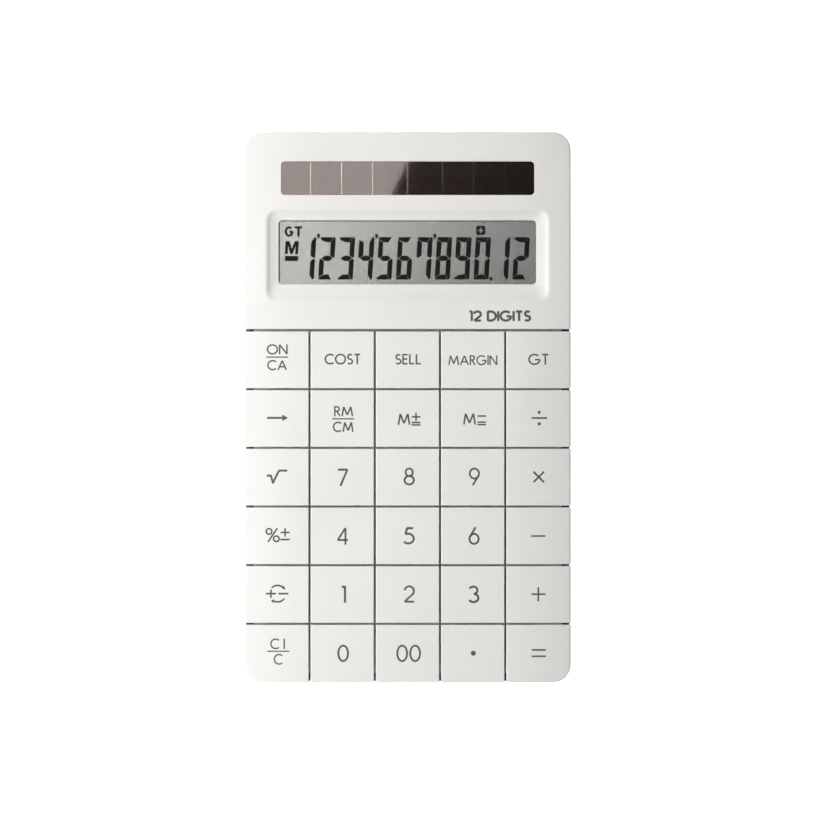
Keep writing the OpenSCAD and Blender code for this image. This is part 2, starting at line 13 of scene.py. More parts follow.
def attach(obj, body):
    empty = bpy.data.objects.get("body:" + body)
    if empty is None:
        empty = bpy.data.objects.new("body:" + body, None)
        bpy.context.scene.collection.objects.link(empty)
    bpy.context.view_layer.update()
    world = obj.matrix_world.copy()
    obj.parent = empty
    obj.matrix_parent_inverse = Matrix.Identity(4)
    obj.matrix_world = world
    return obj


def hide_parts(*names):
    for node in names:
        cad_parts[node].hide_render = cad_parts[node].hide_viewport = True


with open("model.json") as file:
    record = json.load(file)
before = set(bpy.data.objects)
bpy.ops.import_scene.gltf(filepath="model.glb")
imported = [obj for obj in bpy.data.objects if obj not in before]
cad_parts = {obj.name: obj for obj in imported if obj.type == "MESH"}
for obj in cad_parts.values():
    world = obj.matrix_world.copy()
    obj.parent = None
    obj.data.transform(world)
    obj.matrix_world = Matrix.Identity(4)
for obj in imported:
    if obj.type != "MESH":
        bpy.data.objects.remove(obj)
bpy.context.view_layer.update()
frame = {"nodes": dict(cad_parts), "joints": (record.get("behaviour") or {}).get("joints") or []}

LOG = logging.getLogger("desk_calculator")
MM = 0.001
Point = tuple[float, float]
# Points nearer than this are the same, in metres
TOUCH = 1e-6
# A face or an edge this near a place counts as at it, in millimetres
CLOSE = 0.1
# A face looks along an axis where its normal has at least this much of it
FACING = 0.9
# A face belongs to a wall where its middle is nearer the outline than this share of the wall
RIM_SHARE = 0.9
# How far a cutter runs past what it cuts, in millimetres
PAST = 1.0
# Thickness of a print, drawn thicker than real ink so that it lies clear of its ground
PRINT_T = 0.012


# --- Working by hand: selection, edit mode and modifiers -------------------------------------


class Part(Enum):
    """Which kind of mesh element a selection is made of."""

    FACES = "FACE"
    EDGES = "EDGE"


def only(piece: bpy.types.Object) -> None:
    """Make one object the only one selected and active."""
    bpy.ops.object.select_all(action="DESELECT")
    piece.select_set(True)
    bpy.context.view_layer.objects.active = piece


def edit(piece: bpy.types.Object, part: Part, test: Callable[[Vector, Vector], bool] | None = None) -> None:
    """Open a piece in edit mode with the faces or edges that pass a test selected.

    Args:
        piece: The mesh object to open.
        part: Whether faces or edges are chosen.
        test: Given a face's centre and normal, or an edge's two ends; None chooses all.
    """
    only(piece)
    bpy.ops.object.mode_set(mode="EDIT")
    bpy.ops.mesh.select_mode(type=part.value)
    bpy.ops.mesh.select_all(action="DESELECT" if test else "SELECT")
    if test:
        bpy.ops.object.mode_set(mode="OBJECT")
        mesh = piece.data
        if part is Part.FACES:
            for face in mesh.polygons:
                face.select = test(face.center, face.normal)
        else:
            for edge in mesh.edges:
                ends = (mesh.vertices[i].co for i in edge.vertices)
                edge.select = test(*ends)
        bpy.ops.object.mode_set(mode="EDIT")


def leave() -> None:
    """Close edit mode."""
    bpy.ops.object.mode_set(mode="OBJECT")


def extrude(height: float) -> None:
    """Extrude the selected faces straight up by a height in millimetres, or down by a negative one."""
    move = {"value": (0, 0, height * MM), "orient_type": "GLOBAL"}
    bpy.ops.mesh.extrude_region_move(TRANSFORM_OT_translate=move)


def modify(piece: bpy.types.Object, kind: str, **settings: object) -> None:
    """Add one modifier to a piece, set it and apply it.

    Args:
        piece: The mesh object to finish.
        kind: Blender's name for the modifier.
        settings: The modifier's settings.
    """
    only(piece)
    modifier = piece.modifiers.new(kind.title(), kind)
    for name, value in settings.items():
        setattr(modifier, name, value)
    bpy.ops.object.modifier_apply(modifier=modifier.name)


def slice_off(piece: bpy.types.Object, place: Vector, normal: Vector) -> None:
    """Cut a piece with a plane, drop what lies on the normal's side and close the cut.

    Args:
        piece: The mesh object to cut.
        place: A point of the plane, in metres.
        normal: The side that is dropped.
    """
    edit(piece, Part.FACES)
    bpy.ops.mesh.bisect(plane_co=place, plane_no=normal, use_fill=True, clear_outer=True)
    leave()


def carve(piece: bpy.types.Object, cutter: bpy.types.Object) -> None:
    """Cut one piece out of another and throw the cutter away."""
    modify(piece, "BOOLEAN", operation="DIFFERENCE", solver="EXACT", object=cutter)
    bpy.data.objects.remove(cutter)


def duplicate(piece: bpy.types.Object, name: str) -> bpy.types.Object:
    """Copy a piece, mesh and all, under a new name."""
    only(piece)
    bpy.ops.object.duplicate(linked=False)
    copy = bpy.context.object
    copy.name = copy.data.name = name
    return copy


def join(pieces: list[bpy.types.Object], name: str) -> bpy.types.Object:
    """Join pieces into the first of them.

    Args:
        pieces: The objects to join.
        name: The name of the result.

    Returns:
        The joined object.
    """
    only(pieces[0])
    for piece in pieces[1:]:
        piece.select_set(True)
    if len(pieces) > 1:
        bpy.ops.object.join()
    pieces[0].name = pieces[0].data.name = name
    return pieces[0]


def put(piece: bpy.types.Object, place: Vector, turn: tuple[float, float, float] = (0, 0, 0)) -> None:
    """Turn a piece about its origin, move it, and set both into its mesh."""
    only(piece)
    piece.location = place
    piece.rotation_euler = turn
    bpy.ops.object.transform_apply(location=True, rotation=True, scale=True)


def soften(piece: bpy.types.Object, width: float, segments: int = 3, angle: float = 40) -> None:
    """Round every sharp edge of a piece by a small radius in millimetres."""
    modify(piece, "BEVEL", width=width * MM, segments=segments, limit_method="ANGLE",
           angle_limit=math.radians(angle), use_clamp_overlap=True, miter_outer="MITER_ARC")


def polish(piece: bpy.types.Object, angle: float = 40) -> None:
    """Smooth the shading over roundings while flat faces stay flat."""
    only(piece)
    bpy.ops.object.shade_smooth_by_angle(angle=math.radians(angle))
    modify(piece, "WEIGHTED_NORMAL", weight=80, keep_sharp=True)


def slab(name: str, low: Vector, high: Vector) -> bpy.types.Object:
    """Add a cube stretched between two corners given in millimetres."""
    bpy.ops.object.select_all(action="DESELECT")
    bpy.ops.mesh.primitive_cube_add(size=1)
    piece = bpy.context.object
    piece.name = piece.data.name = name
    piece.scale = (high - low) * MM
    put(piece, (low + high) * 0.5 * MM)
    return piece


def round_plan(piece: bpy.types.Object, radius: float, segments: int) -> None:
    """Round the upright edges of a block, radius in millimetres."""
    edit(piece, Part.EDGES, lambda a, b: abs(a.z - b.z) > abs(a.x - b.x) + abs(a.y - b.y))
    bpy.ops.mesh.bevel(offset=radius * MM, segments=segments, affect="EDGES")
    leave()


def flat_shapes(name: str, outlines: list[list[Point]], z: float, thick: float) -> bpy.types.Object:
    """Lay thin flat shapes side by side on a level plane.

    Args:
        name: The piece's name.
        outlines: Each shape's corners in order, in millimetres.
        z: Height of the shapes' upper faces, in millimetres.
        thick: Their thickness, in millimetres.

    Returns:
        The new mesh object.
    """
    bpy.ops.object.select_all(action="DESELECT")
    for i, outline in enumerate(outlines):
        bpy.ops.mesh.primitive_circle_add(vertices=len(outline), radius=MM, fill_type="NGON")
        if i == 0:
            piece = bpy.context.object
            piece.name = piece.data.name = name
            bpy.ops.object.mode_set(mode="EDIT")
    leave()
    corners = [corner for outline in outlines for corner in outline]
    for vertex, (x, y) in zip(piece.data.vertices, corners):
        vertex.co = (x * MM, y * MM, z * MM)
    edit(piece, Part.FACES)
    extrude(-thick)
    bpy.ops.mesh.select_all(action="SELECT")
    bpy.ops.mesh.normals_make_consistent(inside=False)
    leave()
    return piece


# --- Finishes ---------------------------------------------------------------------------------


def linear(code: str) -> tuple[float, float, float, float]:
    """Turn an sRGB hex colour into linear red, green, blue and alpha."""
    parts = [int(code.lstrip("#")[i:i + 2], 16) / 255 for i in (0, 2, 4)]
    return (*(p / 12.92 if p <= 0.04045 else ((p + 0.055) / 1.055) ** 2.4 for p in parts), 1.0)


def add(tree: bpy.types.NodeTree, kind: str, settings: dict | None = None,
        links: dict | None = None) -> bpy.types.Node:
    """Add one node with its settings and links.

    Args:
        tree: The material's node tree.
        kind: The node's type without the ShaderNode prefix.
        settings: Values by property name (lower case) or by socket name or number.
        links: Output sockets by the input socket that takes them.

    Returns:
        The new node.
    """
    made = tree.nodes.new("ShaderNode" + kind)
    for name, value in (settings or {}).items():
        if isinstance(name, str) and name[0].islower():
            setattr(made, name, value)
        else:
            made.inputs[name].default_value = value
    for name, source in (links or {}).items():
        tree.links.new(source, made.inputs[name])
    return made


class Grain(Enum):
    """How a surface was made, as stretch factors of its texture along X, Y and Z."""

    MOULDED = (1.0, 1.0, 1.0)
    BRUSHED = (0.04, 1.0, 1.0)
    WOVEN = (1.0, 0.35, 1.0)


# Octaves of the two noises that every finish mixes, and how much the finer ones count
FINE_NOISE = {"Detail": 2.0, "Roughness": 0.55}
BROAD_NOISE = {"Detail": 3.0, "Roughness": 0.5}
# Share of the fine noise in the tones, and where the mix reaches the first and the second tone
FINE_SHARE = 0.35
TONE_ENDS = (0.42, 0.92)
# Where the fine noise reaches the smoothest and the roughest spots
GLOSS_ENDS = (0.3, 0.7)


@dataclass(frozen=True)
class Finish:
    """A solid finish: two close tones that drift into each other, a grain and a gloss.

    The grain and drift pitches and the grain's depth are real sizes in millimetres.
    """

    name: str
    colour: str
    second: str
    roughness: float
    grain: float
    depth: float
    drift: float = 18.0
    spread: float = 0.05
    make_of: Grain = Grain.MOULDED
    metallic: float = 0.0
    ior: float = 1.5
    coat: float = 0.0
    sheen: float = 0.0

    def material(self) -> bpy.types.Material:
        """Build the finish as a Blender material.

        Returns:
            The material, with its pattern on Object coordinates.
        """
        made = bpy.data.materials.new(self.name)
        made.use_nodes = True
        tree = made.node_tree
        tree.nodes.clear()
        place = add(tree, "TexCoord")
        stretch = add(tree, "Mapping", {"Scale": self.make_of.value}, {"Vector": place.outputs["Object"]})
        fine = add(tree, "TexNoise", {"Scale": 1 / (self.grain * MM), **FINE_NOISE},
                   {"Vector": stretch.outputs[0]})
        broad = add(tree, "TexNoise", {"Scale": 1 / (self.drift * MM), **BROAD_NOISE},
                    {"Vector": stretch.outputs[0]})
        both = add(tree, "Math", {"operation": "MULTIPLY_ADD", 1: FINE_SHARE},
                   {0: fine.outputs[0], 2: broad.outputs[0]})
        tones = add(tree, "ValToRGB", None, {0: both.outputs[0]})
        for stop, place, colour in zip(tones.color_ramp.elements, TONE_ENDS, (self.colour, self.second)):
            stop.position = place
            stop.color = linear(colour)
        gloss = add(tree, "MapRange", {
            "From Min": GLOSS_ENDS[0], "From Max": GLOSS_ENDS[1], "To Min": self.roughness - self.spread,
            "To Max": self.roughness + self.spread}, {"Value": fine.outputs[0]})
        relief = add(tree, "Bump", {"Strength": 1.0, "Distance": self.depth * MM},
                     {"Height": fine.outputs[0]})
        settings = {"Metallic": self.metallic, "Coat Weight": self.coat, "Sheen Weight": self.sheen}
        if not self.metallic:
            settings["IOR"] = self.ior
        surface = add(tree, "BsdfPrincipled", settings, {
            "Base Color": tones.outputs[0], "Roughness": gloss.outputs[0], "Normal": relief.outputs[0]})
        add(tree, "OutputMaterial", None, {"Surface": surface.outputs[0]})
        return made


@dataclass(frozen=True)
class ClearSheet:
    """A see-through sheet: tinted transmission under a thin mirror that grows with the angle."""

    name: str
    tint: str
    mirror_ior: float
    roughness: float
    grain: float
    depth: float
    mirror_tint: str = "#FFFFFF"

    def material(self) -> bpy.types.Material:
        """Build the sheet as a Blender material.

        Returns:
            The material, clear at normal incidence and glossy at a glance.
        """
        made = bpy.data.materials.new(self.name)
        made.use_nodes = True
        tree = made.node_tree
        tree.nodes.clear()
        place = add(tree, "TexCoord")
        fine = add(tree, "TexNoise", {"Scale": 1 / (self.grain * MM), "Detail": FINE_NOISE["Detail"]},
                   {"Vector": place.outputs["Object"]})
        relief = add(tree, "Bump", {"Strength": 1.0, "Distance": self.depth * MM},
                     {"Height": fine.outputs[0]})
        glance = add(tree, "Fresnel", {"IOR": self.mirror_ior})
        through = add(tree, "BsdfTransparent", {"Color": linear(self.tint)})
        mirror = add(tree, "BsdfPrincipled", {"Base Color": linear(self.mirror_tint), "Metallic": 1.0,
                                              "Roughness": self.roughness}, {"Normal": relief.outputs[0]})
        sheet = add(tree, "MixShader", None,
                    {0: glance.outputs[0], 1: through.outputs[0], 2: mirror.outputs[0]})
        add(tree, "OutputMaterial", None, {"Surface": sheet.outputs[0]})
        return made


# ABS, injection moulded in a finely spark-eroded tool: a soft matt white whose texture breaks up its gloss
WHITE_ABS = Finish("white_moulded_abs", "#E5E4E1", "#E1E0DD", 0.62, 0.32, 0.0016, drift=30, ior=1.3)
# The keys are the same ABS from another tool, a touch smoother where fingers polish them
KEY_ABS = Finish("key_moulded_abs", "#E5E4E1", "#E1E0DD", 0.42, 0.30, 0.0014, drift=24)
# Charcoal ABS with a coarser grain that hides scuffs on the underside
CHARCOAL_ABS = Finish("charcoal_moulded_abs", "#333436", "#3B3C3E", 0.55, 0.45, 0.012, drift=14)
# Cast PMMA over the solar cells: a hard, flat mirror-clear pane
SOLAR_PANE = ClearSheet("cast_acrylic_pane", "#F4F4F2", 1.51, 0.02, 9.0, 0.0003, "#FFFAFB")
# Hard-coated PMMA with an anti-reflection film over the display: almost no mirror image
DISPLAY_PANE = ClearSheet("anti_reflection_acrylic", "#FBFBFA", 1.08, 0.22, 0.25, 0.0006)
# Float glass that carries the amorphous silicon: only its faint green edge shows
CELL_GLASS = ClearSheet("float_glass", "#F1F5F2", 1.02, 0.05, 6.0, 0.0003)
# Amorphous silicon seen through glass: near black with a warm brown cast and a broad dim gloss
SILICON = Finish("amorphous_silicon", "#372C2B", "#322827", 0.125, 0.8, 0.0002, drift=9, spread=0.01,
                 metallic=1.0)
# Silver paste, fired between the cells: a tarnished grey that only shines where a light mirrors in it
SILVER_PASTE = Finish("fired_silver_paste", "#A39E9B", "#9B9693", 0.08, 0.12, 0.0003, drift=4, spread=0.01,
                      metallic=0.97)
# PVC-covered stranded copper
RED_PVC = Finish("red_pvc", "#9E2F25", "#8A271F", 0.38, 0.3, 0.002, drift=5)
# The liquid crystal cell's glass edge, pale grey-green
LCD_GLASS = Finish("display_glass", "#AEB4AC", "#A4AAA2", 0.12, 0.5, 0.0004, drift=12)
# Stretched PVA polariser over a brushed aluminium film: a pearly grey that fades with the light
POLARISER = Finish("pearl_polariser_film", "#94999B", "#8F9495", 0.195, 0.12, 0.0004, drift=30, spread=0.02,
                   metallic=0.85)
# Matt silver reflector film
REFLECTOR = Finish("silver_reflector_film", "#C4C6C3", "#B9BBB8", 0.34, 0.1, 0.0008, drift=20, metallic=0.8)
# Twisted liquid crystal under voltage: flat black without any gloss
CRYSTAL_BLACK = Finish("switched_liquid_crystal", "#0E0F0C", "#11120F", 0.7, 0.1, 0.0002, drift=10, ior=1.2)
# Natural ABS for the hidden bracket
BRACKET_ABS = Finish("natural_abs", "#CFCDC4", "#C6C4BB", 0.5, 0.4, 0.004)
# Striped silicone with carbon layers
ZEBRA = Finish("layered_silicone", "#5B5350", "#8A8480", 0.6, 0.25, 0.002, drift=1.0)
# Grey silicone rubber, compression moulded, slightly sweaty sheen
SILICONE = Finish("grey_silicone", "#B3B6B5", "#A9ACAB", 0.62, 0.5, 0.004, sheen=0.1)
# Carbon-loaded silicone contact
CARBON = Finish("carbon_contact", "#1D1D1E", "#262627", 0.5, 0.15, 0.003)
# FR-4 glass-epoxy with green solder mask: the weave prints through the lacquer
SOLDER_MASK = Finish("solder_mask_fr4", "#2C6A43", "#245A38", 0.28, 0.6, 0.006, drift=3,
                     make_of=Grain.WOVEN, coat=0.3)
# Black epoxy poured over the chip
EPOXY = Finish("potting_epoxy", "#151517", "#1C1C1F", 0.16, 1.2, 0.004, drift=4)
# Fired alumina chip parts
CERAMIC = Finish("fired_ceramic", "#9A7B5A", "#8B6E50", 0.45, 0.2, 0.002, drift=2)
# Shrunk PVC sleeve of the capacitor
SLEEVE = Finish("shrunk_pvc_sleeve", "#22304E", "#1C2944", 0.3, 0.4, 0.003, drift=5)
# Zinc-plated steel, turned
ZINC = Finish("zinc_plated_steel", "#B9BCBF", "#A5A9AD", 0.3, 0.12, 0.003, drift=2, metallic=1.0)
# Stainless can of the cell, drawn
STAINLESS = Finish("drawn_stainless", "#C8C9C9", "#B6B8B9", 0.26, 0.3, 0.002, drift=3,
                   make_of=Grain.BRUSHED, metallic=1.0)
# Nickel-plated spring strip
NICKEL = Finish("nickel_plated_strip", "#C6C1B4", "#B5B0A4", 0.27, 0.2, 0.002, drift=4,
                make_of=Grain.BRUSHED, metallic=1.0)
# Moulded rubber feet: dull, with a fine tooth
FOOT_RUBBER = Finish("moulded_rubber", "#232324", "#2B2B2C", 0.78, 0.35, 0.012, drift=4)
# Two-part ink, pad printed: a soft mid grey
INK = Finish("pad_printed_ink", "#4F504B", "#555651", 0.55, 0.15, 0.0006, drift=6)
# Painted shadow: a dull dark grey, laid as a foam strip, that stands for the shade the display opening's lip
# casts on the polariser
LIP_SHADOW_GREY = Finish("painted_lip_shadow", "#5A5B5A", "#515251", 0.85, 0.15, 0.002, drift=3)
# Painted cyclorama board
BOARD = Finish("painted_board", "#F7F7F6", "#F4F4F3", 0.9, 1.5, 0.002, drift=90)

NODE_FINISHES: dict[str, Finish | ClearSheet] = {
    "solar_window": SOLAR_PANE, "display_window": DISPLAY_PANE, "solar_panel": CELL_GLASS,
    "solar_cells": SILICON, "solar_leads": RED_PVC, "lcd_glass": LCD_GLASS, "front_polariser": POLARISER,
    "rear_reflector": REFLECTOR, "lcd_bracket": BRACKET_ABS, "zebra_strip": ZEBRA, "dome_mat": SILICONE,
    "contact_pills": CARBON, "circuit_board": SOLDER_MASK, "processor_blob": EPOXY,
    "surface_mount_parts": CERAMIC, "capacitor": SLEEVE, "board_screws": ZINC, "rear_cover": CHARCOAL_ABS,
    "case_screws": ZINC, "battery_cover": CHARCOAL_ABS, "battery_cover_screw": ZINC, "coin_cell": STAINLESS,
    "positive_contact": NICKEL, "negative_contact": NICKEL, "battery_leads": RED_PVC,
    "front_feet": FOOT_RUBBER, "rear_feet": FOOT_RUBBER,
}


class Wardrobe:
    """Makes each finish once and puts it on pieces."""

    def __init__(self) -> None:
        """Start with no material made."""
        self._made: dict[str, bpy.types.Material] = {}

    def dress(self, piece: bpy.types.Object, finish: Finish | ClearSheet) -> None:
        """Give every face of a piece one finish.

        Args:
            piece: A new piece or a CAD node.
            finish: The finish it takes.
        """
        if finish.name not in self._made:
            self._made[finish.name] = finish.material()
        made = self._made[finish.name]
        if not piece.material_slots:
            piece.data.materials.append(made)
        for holder in piece.material_slots:
            holder.material = made


# --- The sloping deck -------------------------------------------------------------------------


def span(points: list[Vector]) -> tuple[Vector, Vector]:
    """Give the lowest and highest corners of the box round some points."""
    return (Vector(min(p[i] for p in points) for i in range(3)),
            Vector(max(p[i] for p in points) for i in range(3)))


@dataclass(frozen=True)
class Deck:
    """The sloping top face: everything above the base is drawn level on it, then laid back."""

    slope: float
    middle: Vector
    width: float
    length: float
    head_front: float

    @classmethod
    def measure(cls) -> "Deck":
        """Read the slope, middle and size of the top from the CAD model.

        Returns:
            The deck, with lengths in millimetres and its middle in the model's frame.
        """
        press = Vector(frame["joints"][0]["axis"])
        slope = math.atan2(press.y, -press.z)
        level = Matrix.Rotation(-slope, 3, "X")

        def levelled(node: str) -> tuple[Vector, Vector]:
            """Give a node's lowest and highest corners with the slope taken out."""
            return span([level @ v.co for v in frame["nodes"][node].data.vertices])

        key_low, key_high = levelled("key_0")
        head_low, head_high = levelled("upper_case")
        middle = Vector((0.0, (key_low.y + head_high.y) / 2, key_high.z))
        first_row_rear = levelled("key_cost")[1].y
        return cls(slope, middle, (head_high.x - head_low.x) / MM, (head_high.y - key_low.y) / MM,
                   (first_row_rear - middle.y) / MM)

    def turn(self) -> Matrix:
        """Give the rotation that lays the level deck back."""
        return Matrix.Rotation(self.slope, 3, "X")

    def at(self, x: float, y: float, z: float) -> Vector:
        """Give a deck point, in millimetres, as a place in the model's frame."""
        return self.turn() @ (Vector((x, y, z)) * MM + self.middle)

    def lay(self, piece: bpy.types.Object) -> None:
        """Lay a piece drawn on the level deck back onto the slope."""
        put(piece, self.turn() @ self.middle, (self.slope, 0, 0))

    def box(self, node: str) -> tuple[Vector, Vector]:
        """Give a CAD node's lowest and highest corners on the deck, in millimetres."""
        level = Matrix.Rotation(-self.slope, 3, "X")
        return span([(level @ v.co - self.middle) / MM for v in frame["nodes"][node].data.vertices])


@dataclass
class TopSlab:
    """The rounded slab that the keys and the head are cut from."""

    deck: Deck
    corner: float = 6.0
    corner_cuts: int = 18
    edge: float = 0.5
    edge_cuts: int = 7
    depth: float = 4.5
    crown_from: float = 35.5
    crown_rate: float = 0.0025
    crown_cuts: int = 9
    crown_full: float = -0.6
    crown_none: float = -1.55

    def build(self) -> bpy.types.Object:
        """Model the whole slab with its corner and edge roundings.

        Returns:
            The slab, level, with its top face at zero.
        """
        half_w, half_l = self.deck.width / 2, self.deck.length / 2
        piece = slab("top_slab", Vector((-half_w, -half_l, -self.depth)), Vector((half_w, half_l, 0)))
        round_plan(piece, self.corner, self.corner_cuts)
        edit(piece, Part.EDGES, lambda a, b: min(a.z, b.z) > -CLOSE * MM)
        bpy.ops.mesh.bevel(offset=self.edge * MM, segments=self.edge_cuts, affect="EDGES")
        leave()
        return piece

    def inside(self, x: float, y: float) -> float:
        """Give how far inside the slab's outline a point lies, in millimetres."""
        over_x = abs(x) - self.deck.width / 2 + self.corner
        over_y = abs(y) - self.deck.length / 2 + self.corner
        beyond = math.hypot(max(over_x, 0), max(over_y, 0)) + min(max(over_x, over_y), 0)
        return self.corner - beyond

    def crown(self, piece: bpy.types.Object) -> None:
        """Let the top of a level piece fall away softly towards the slab's two long sides.

        Args:
            piece: A piece drawn on the level deck, where it sits.
        """
        reach = self.deck.width / 2 - self.crown_from
        for side in (-1, 1):
            for i in range(self.crown_cuts):
                cut = side * (self.crown_from + reach * i / self.crown_cuts)
                edit(piece, Part.FACES)
                bpy.ops.mesh.bisect(plane_co=(cut * MM, 0, 0), plane_no=(1, 0, 0))
                leave()
        for vertex in piece.data.vertices:
            past = max(0.0, abs(vertex.co.x) / MM - self.crown_from)
            share = (vertex.co.z / MM - self.crown_none) / (self.crown_full - self.crown_none)
            vertex.co.z -= self.crown_rate * past ** 2 * min(1.0, max(0.0, share)) * MM


# --- Lettering --------------------------------------------------------------------------------


# Degrees to a step along an arc, and how far the two halves of a ring lap over each other
ARC_STEP = 11
RING_LAP = 4


def arc(x: float, y: float, r: float, start: float, end: float, tall: float | None = None) -> list[Point]:
    """Walk along an arc from one angle to another.

    Args:
        x: Centre across.
        y: Centre up.
        r: Half width.
        start: First angle in degrees.
        end: Last angle in degrees.
        tall: Half height, when it isn't the half width.

    Returns:
        The arc's points.
    """
    steps = max(2, round(abs(end - start) / ARC_STEP))
    turns = (math.radians(start + (end - start) * i / steps) for i in range(steps + 1))
    return [(x + r * math.cos(a), y + (tall or r) * math.sin(a)) for a in turns]


def ribbon(points: list[Point], width: float) -> list[Point]:
    """Widen a line into the outline of a stroke with square ends.

    Args:
        points: The stroke's middle line.
        width: The stroke's width.

    Returns:
        The outline's corners in order.
    """
    left, right = [], []
    for i, (x, y) in enumerate(points):
        (x0, y0), (x1, y1) = points[max(i - 1, 0)], points[min(i + 1, len(points) - 1)]
        run = math.hypot(x1 - x0, y1 - y0)
        across = (-(y1 - y0) / run * width / 2, (x1 - x0) / run * width / 2)
        left.append((x + across[0], y + across[1]))
        right.append((x - across[0], y - across[1]))
    return left + right[::-1]


def ring(x: float, y: float, r: float, tall: float | None = None) -> list[list[Point]]:
    """Walk round a closed ring as two overlapping halves."""
    return [arc(x, y, r, start - RING_LAP, start + 180 + RING_LAP, tall) for start in (0, 180)]


# Middle lines of each letter's strokes, one unit tall, with the letter's width
LETTERS: dict[str, tuple[float, list[list[Point]]]] = {
    "O": (1.0, ring(0.5, 0.5, 0.5)),
    "C": (0.84, [arc(0.5, 0.5, 0.5, 47, 313)]),
    "G": (1.0, [arc(0.5, 0.5, 0.5, 44, 358), [(0.56, 0.47), (1.0, 0.47)]]),
    "A": (0.86, [[(0, -0.03), (0.43, 1)], [(0.43, 1), (0.86, -0.03)], [(0.14, 0.32), (0.72, 0.32)]]),
    "S": (0.5, [arc(0.27, 0.75, 0.22, 38, 262, 0.25) + arc(0.25, 0.25, 0.25, 84, -142, 0.25)]),
    "T": (0.58, [[(0, 1), (0.58, 1)], [(0.29, 1), (0.29, -0.05)]]),
    "E": (0.44, [[(0, -0.05), (0, 1.05)], [(0, 1), (0.44, 1)], [(0, 0.52), (0.42, 0.52)],
                 [(0, 0), (0.44, 0)]]),
    "L": (0.42, [[(0, 1.05), (0, -0.05)], [(0, 0), (0.42, 0)]]),
    "M": (1.06, [[(0, -0.05), (0.17, 1)], [(0.17, 1), (0.53, 0.1)], [(0.53, 0.1), (0.89, 1)],
                 [(0.89, 1), (1.06, -0.05)]]),
    "R": (0.52, [[(0, -0.05), (0, 1.05)], [(0, 1)] + arc(0.2, 0.76, 0.25, 90, -90, 0.24) + [(0, 0.52)],
                 [(0.2, 0.52), (0.52, -0.03)]]),
    "N": (0.74, [[(0, -0.05), (0, 1.02)], [(0, 1.02), (0.74, -0.02)], [(0.74, -0.02), (0.74, 1.05)]]),
    "I": (0.0, [[(0, -0.05), (0, 1.05)]]),
    "D": (0.74, [[(0, -0.05), (0, 1.05)], [(0, 1)] + arc(0.26, 0.5, 0.48, 90, -90, 0.5) + [(0, 0)]]),
    "0": (0.62, ring(0.31, 0.5, 0.31, 0.5)),
    "1": (0.22, [[(0, 1), (0.22, 1)], [(0.22, 1.05), (0.22, -0.05)]]),
    "2": (0.62, [arc(0.31, 0.69, 0.31, 172, -36) + [(0.02, 0.02)], [(0, 0), (0.64, 0)]]),
    "3": (0.54, [arc(0.26, 0.76, 0.23, 155, -84, 0.24), arc(0.27, 0.27, 0.27, 88, -152, 0.27)]),
    "4": (0.66, [[(0.5, 1.02), (0, 0.25)], [(-0.03, 0.25), (0.66, 0.25)], [(0.5, 1.0), (0.5, -0.05)]]),
    "5": (0.56, [[(0.52, 1), (0.17, 1)], [(0.18, 1.04), (0.08, 0.6)], arc(0.24, 0.32, 0.32, 120, -140)]),
    "6": (0.62, ring(0.31, 0.31, 0.31) + [[(0.05, 0.46), (0.42, 1.04)]]),
    "7": (0.6, [[(0, 1), (0.62, 1)], [(0.6, 1), (0.16, -0.04)]]),
    "8": (0.62, ring(0.31, 0.765, 0.235) + ring(0.31, 0.265, 0.31, 0.265)),
    "9": (0.62, ring(0.31, 0.69, 0.31) + [[(0.57, 0.54), (0.2, -0.04)]]),
    " ": (0.22, []),
}


@dataclass(frozen=True)
class Word:
    """A word or number in thin geometric capitals, fitted to a width and height."""

    text: str
    x: float
    y: float
    width: float
    height: float
    stroke: float
    gap: float = 0.22

    def outlines(self) -> list[list[Point]]:
        """Give the outlines of all its strokes, in millimetres from the key's middle.

        Returns:
            One closed outline for each stroke.
        """
        natural = sum(LETTERS[c][0] for c in self.text) + self.gap * (len(self.text) - 1)
        wide = (self.width - self.stroke) / natural if natural else 1.0
        tall = self.height - self.stroke
        made, pen = [], self.x - wide * natural / 2
        for letter in self.text:
            advance, strokes = LETTERS[letter]
            for line in strokes:
                points = [(pen + px * wide, self.y + (py - 0.5) * tall) for px, py in line]
                made.append(ribbon(points, self.stroke))
            pen += (advance + self.gap) * wide
        return made


@dataclass(frozen=True)
class Line:
    """A plain line or arc of ink through some points."""

    points: tuple[Point, ...]
    stroke: float

    def outlines(self) -> list[list[Point]]:
        """Give the line's outline."""
        return [ribbon(list(self.points), self.stroke)]


@dataclass(frozen=True)
class Patch:
    """A filled shape of ink."""

    corners: tuple[Point, ...]

    def outlines(self) -> list[list[Point]]:
        """Give the patch's outline."""
        return [list(self.corners)]


Mark = Word | Line | Patch


def dash(x: float, y: float, width: float, stroke: float) -> Line:
    """Draw a level line about a middle."""
    return Line(((x - width / 2, y), (x + width / 2, y)), stroke)


def plus(x: float, y: float, width: float, stroke: float, tall: float | None = None) -> list[Mark]:
    """Draw a plus about a middle."""
    half = (tall or width) / 2
    return [dash(x, y, width, stroke), Line(((x, y - half), (x, y + half)), stroke)]


def dot(x: float, y: float, r: float) -> Patch:
    """Draw a round dot."""
    return Patch(tuple(arc(x, y, r, 0, 340)))


def circle(x: float, y: float, r: float, stroke: float) -> list[Mark]:
    """Draw a small open circle."""
    return [Line(tuple(half), stroke) for half in ring(x, y, r)]


# Middle and radius of the two bent arrows on the sign key
SWAP_X, SWAP_Y, SWAP_R = 0.17, 0.3, 2.75

